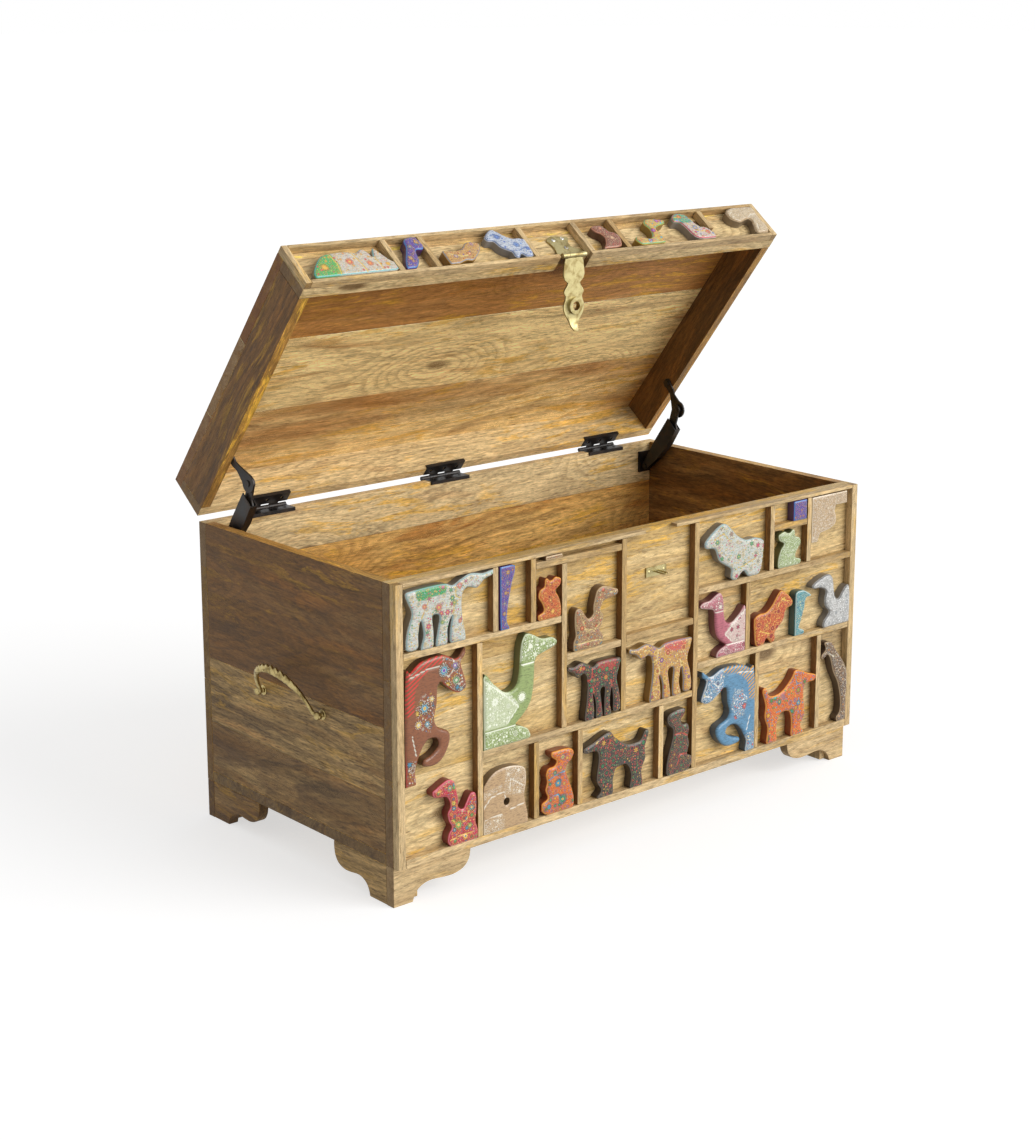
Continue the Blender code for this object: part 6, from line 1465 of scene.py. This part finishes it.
class CHEST_OT_hardware(Operator):
    """Finishes the hinges, stays, hasp and handles"""

    bl_idname = "chest.hardware"
    bl_label = "Hardware"

    def execute(self, context):
        for body, nodes in frame["record"]["behaviour"]["bodies"].items():
            for node in nodes:
                for word, material, bevel in (("hinge", "black iron", 0.0003), ("stay", "black iron", 0.0005),
                                              ("hasp", "pale brass", 0.0005)):
                    if word in node:
                        refine(node, metal(material), body, bevel)
        self.screws()
        for word, side in SIDES:
            self.posts(word, side)
            self.bail(word, side)
        return {"FINISHED"}

    def screws(self):
        """Slotted round heads of the hasp plate's screws, at shares of the plate."""
        left, low = NOTCH[0] + 0.0065, LID_LOW + 0.0104
        width, height = 0.054, 0.0406
        radius, crown, first_turn = 0.0034, 0.0013, 0.7
        shape = Shape()
        for number, (u, v) in enumerate(shares(22, 79, 56, 84, 47, 37)):
            centre = (left + u * width, low + v * height)
            shape.add(*screw_head(centre, FACE - FIT - HASP_PLATE, radius, crown, first_turn + number))
        shape.finish("hasp_plate_screws", metal("screw steel"), "lid", (), True, 35, False)

    def posts(self, word, side):
        """Ball-headed posts turned with a rose, a neck and a collar under the ball."""
        ball, tip = 0.0056, 0.0003
        turn = np.linspace(0.62, np.pi, 14)[:-1]
        rose = ((0.0, 0.0030), (0.0, 0.0073), (0.0006, 0.0075), (0.0013, 0.0068), (0.0016, 0.0052),
                (0.0019, 0.0038), (0.0030, 0.0034))
        profile = [(FIT + x, r) for x, r in rose]
        profile += [(HANDLE_OUT - ball * np.cos(a), ball * np.sin(a)) for a in turn]
        profile.append((HANDLE_OUT + ball, tip))
        profile = [(side * (HALF + x), r) for x, r in profile]
        for end, place in (("front", -POST_PLACE), ("back", POST_PLACE)):
            shape = Shape()
            shape.tube(turned((HANDLE[1] + place, HANDLE[2]), "X", profile, 32))
            nodes = [f"{word}_handle_{end}_post"]
            shape.finish(f"{word}_{end}_post_turned", metal("aged brass"), "case", nodes, False, 30)

    def bail(self, word, side):
        """A drop handle swept along its bow.

        Radius at s along it, theta around it: leg + (grip - leg) * sin(pi s) ** 2, times
        1 - depth * (1 - |cos(1.5 * (theta - turn * s))|) in the grip, which gives three twisted strands.
        """
        lean = np.radians(26)
        arc = np.linspace(np.pi, 0, 60)
        end, leg, grip, rise, foot = 0.0020, 0.0027, 0.0064, 0.061, 0.0615
        tip, shoulder, thinned, taper = 0.0796, 0.0690, 0.0680, 0.003
        count, rounds, sides, depth, turn = 260, 30, 36, 0.36, 46.0
        bow = np.stack([foot * np.cos(arc), leg + np.sin(arc) * (rise - leg)], -1)
        ends = np.array([[-tip, 0.0], [-shoulder, 0.0]])
        line = even_steps(np.concatenate([ends, bow, ends[::-1] * (-1, 1)]), count)
        for _ in range(rounds):
            line[1:-1] = (line[:-2] + 2 * line[1:-1] + line[2:]) / 4
        path = np.stack([side * (HALF + HANDLE_OUT + np.sin(lean) * line[:, 1]), HANDLE[1] + line[:, 0],
                         HANDLE[2] + np.cos(lean) * line[:, 1]], -1)
        along = np.linspace(0, 1, len(path))
        swell = np.sin(np.pi * np.clip((along - 0.10) / 0.80, 0, 1)) ** 2
        thick = np.clip((thinned - np.abs(line[:, 0])) / taper, 0, 1)
        radius = end + (leg - end) * thick + (grip - leg) * swell
        theta = np.linspace(0, 2 * np.pi, sides, endpoint=False)
        lobes = np.abs(np.cos(1.5 * (theta[None] - turn * along[:, None])))
        strength = depth * np.clip(swell * 2.0 - 0.7, 0, 1)[:, None]
        twisted = radius[:, None] * (1 - strength * (1 - lobes))
        shape = Shape()
        shape.tube(swept(path, (side * np.cos(lean), 0, -np.sin(lean)), twisted, sides))
        nodes = [f"{word}_handle_bail"]
        shape.finish(f"{word}_bail_twisted", metal("aged brass"), f"{word}_handle", nodes, False, 60)


class CHEST_OT_stage(Operator):
    """Sets up the floor, the lights and the camera"""

    bl_idname = "chest.stage"
    bl_label = "Stage"

    def execute(self, context):
        scene = context.scene
        settings = scene.chest_stage
        scene.view_settings.view_transform = "Standard"
        self.floor()
        self.world(scene, settings.fill)
        data = bpy.data.lights.new("key light", "SUN")
        data.energy = settings.sun
        data.angle = np.radians(50)
        light = place_object("key light", data)
        towards = Vector((0.45, -0.75, 0.33))
        light.rotation_euler = towards.to_track_quat("Z", "Y").to_euler()
        self.camera(scene)
        return {"FINISHED"}

    def floor(self):
        """A wide grey floor that glows towards the camera and reflections."""
        mesh = bpy.data.meshes.new("floor")
        size, grey, glow = 60.0, 0.55, 0.60
        corners = [(-size, -size, 0), (size, -size, 0), (size, size, 0), (-size, size, 0)]
        mesh.from_pydata(corners, [], [(0, 1, 2, 3)])
        floor = place_object("floor", mesh)
        material, tree, shader = start_material("studio floor")
        tree.put(shader["Base Color"], (grey, grey, grey, 1))
        tree.put(shader["Roughness"], 1.0)
        tree.put(shader["Specular IOR Level"], 0.0)
        light = tree.add("Emission", Color=(1, 1, 1, 1), Strength=tree.times(tree.shown(), glow))
        nodes = material.node_tree.nodes
        added = tree.add("AddShader", i0=nodes["Principled BSDF"].outputs[0], i1=light.outputs[0])
        tree.put(nodes["Material Output"].inputs[0], added.outputs[0])
        mesh.materials.append(material)

    def world(self, scene, fill):
        """Even pale surroundings, plain white where the camera or a reflection sees them."""
        world = bpy.data.worlds.new("studio")
        world.use_nodes = True
        tree = Tree(world.node_tree)
        background = world.node_tree.nodes["Background"].inputs
        tree.put(background["Color"], (1, 1, 1, 1))
        tree.put(background["Strength"], tree.fuse(tree.shown(), 1.0 - fill, fill))
        scene.world = world

    def camera(self, scene):
        """The camera that took the photograph, worked out from the chest's straight edges."""
        data = bpy.data.cameras.new("camera")
        data.sensor_width = 36.0
        data.lens = 68.129
        data.shift_x = -0.01068
        data.shift_y = -0.07170
        back = Vector((-0.6400, -0.7355, 0.2225)).normalized()
        right = Vector((0, 0, 1)).cross(back).normalized()
        turn = Matrix((right, back.cross(right), back)).transposed()
        place = Vector((-2.0660, -2.3740, 1.1814))
        camera = place_object("camera", data)
        camera.matrix_world = Matrix.Translation(place) @ turn.to_4x4()
        scene.camera = camera


class CHEST_PT_panel(Panel):
    """Lists the chest's operators and settings"""

    bl_label = "Animal block chest"
    bl_idname = "CHEST_PT_panel"
    bl_space_type = "VIEW_3D"
    bl_region_type = "UI"
    bl_category = "Chest"

    def draw(self, context):
        layout = self.layout
        for operator in OPERATORS:
            layout.operator(operator.bl_idname)
        for name, _ in SETTINGS:
            group = getattr(context.scene, name)
            box = layout.box()
            for key in group.__annotations__:
                box.prop(group, key)


OPERATORS = (CHEST_OT_panels, CHEST_OT_feet, CHEST_OT_strips, CHEST_OT_figures, CHEST_OT_hardware,
             CHEST_OT_stage)
SETTINGS = (("chest_wood", ChestWoodSettings), ("chest_paint", ChestPaintSettings),
            ("chest_metal", ChestMetalSettings), ("chest_stage", ChestStageSettings))


def register():
    """Registers the classes and hangs the settings on the scene."""
    for _, group in SETTINGS:
        bpy.utils.register_class(group)
    for kind in (*OPERATORS, CHEST_PT_panel):
        bpy.utils.register_class(kind)
    for name, group in SETTINGS:
        setattr(bpy.types.Scene, name, PointerProperty(type=group))


def unregister():
    """Removes the settings and the classes."""
    for name, _ in SETTINGS:
        delattr(bpy.types.Scene, name)
    for kind in (CHEST_PT_panel, *reversed(OPERATORS)):
        bpy.utils.unregister_class(kind)
    for _, group in reversed(SETTINGS):
        bpy.utils.unregister_class(group)


def main():
    """Builds the whole chest."""
    register()
    bpy.ops.chest.panels()
    bpy.ops.chest.feet()
    bpy.ops.chest.strips()
    bpy.ops.chest.figures()
    bpy.ops.chest.hardware()
    bpy.ops.chest.stage()


if __name__ == "__main__":
    main()
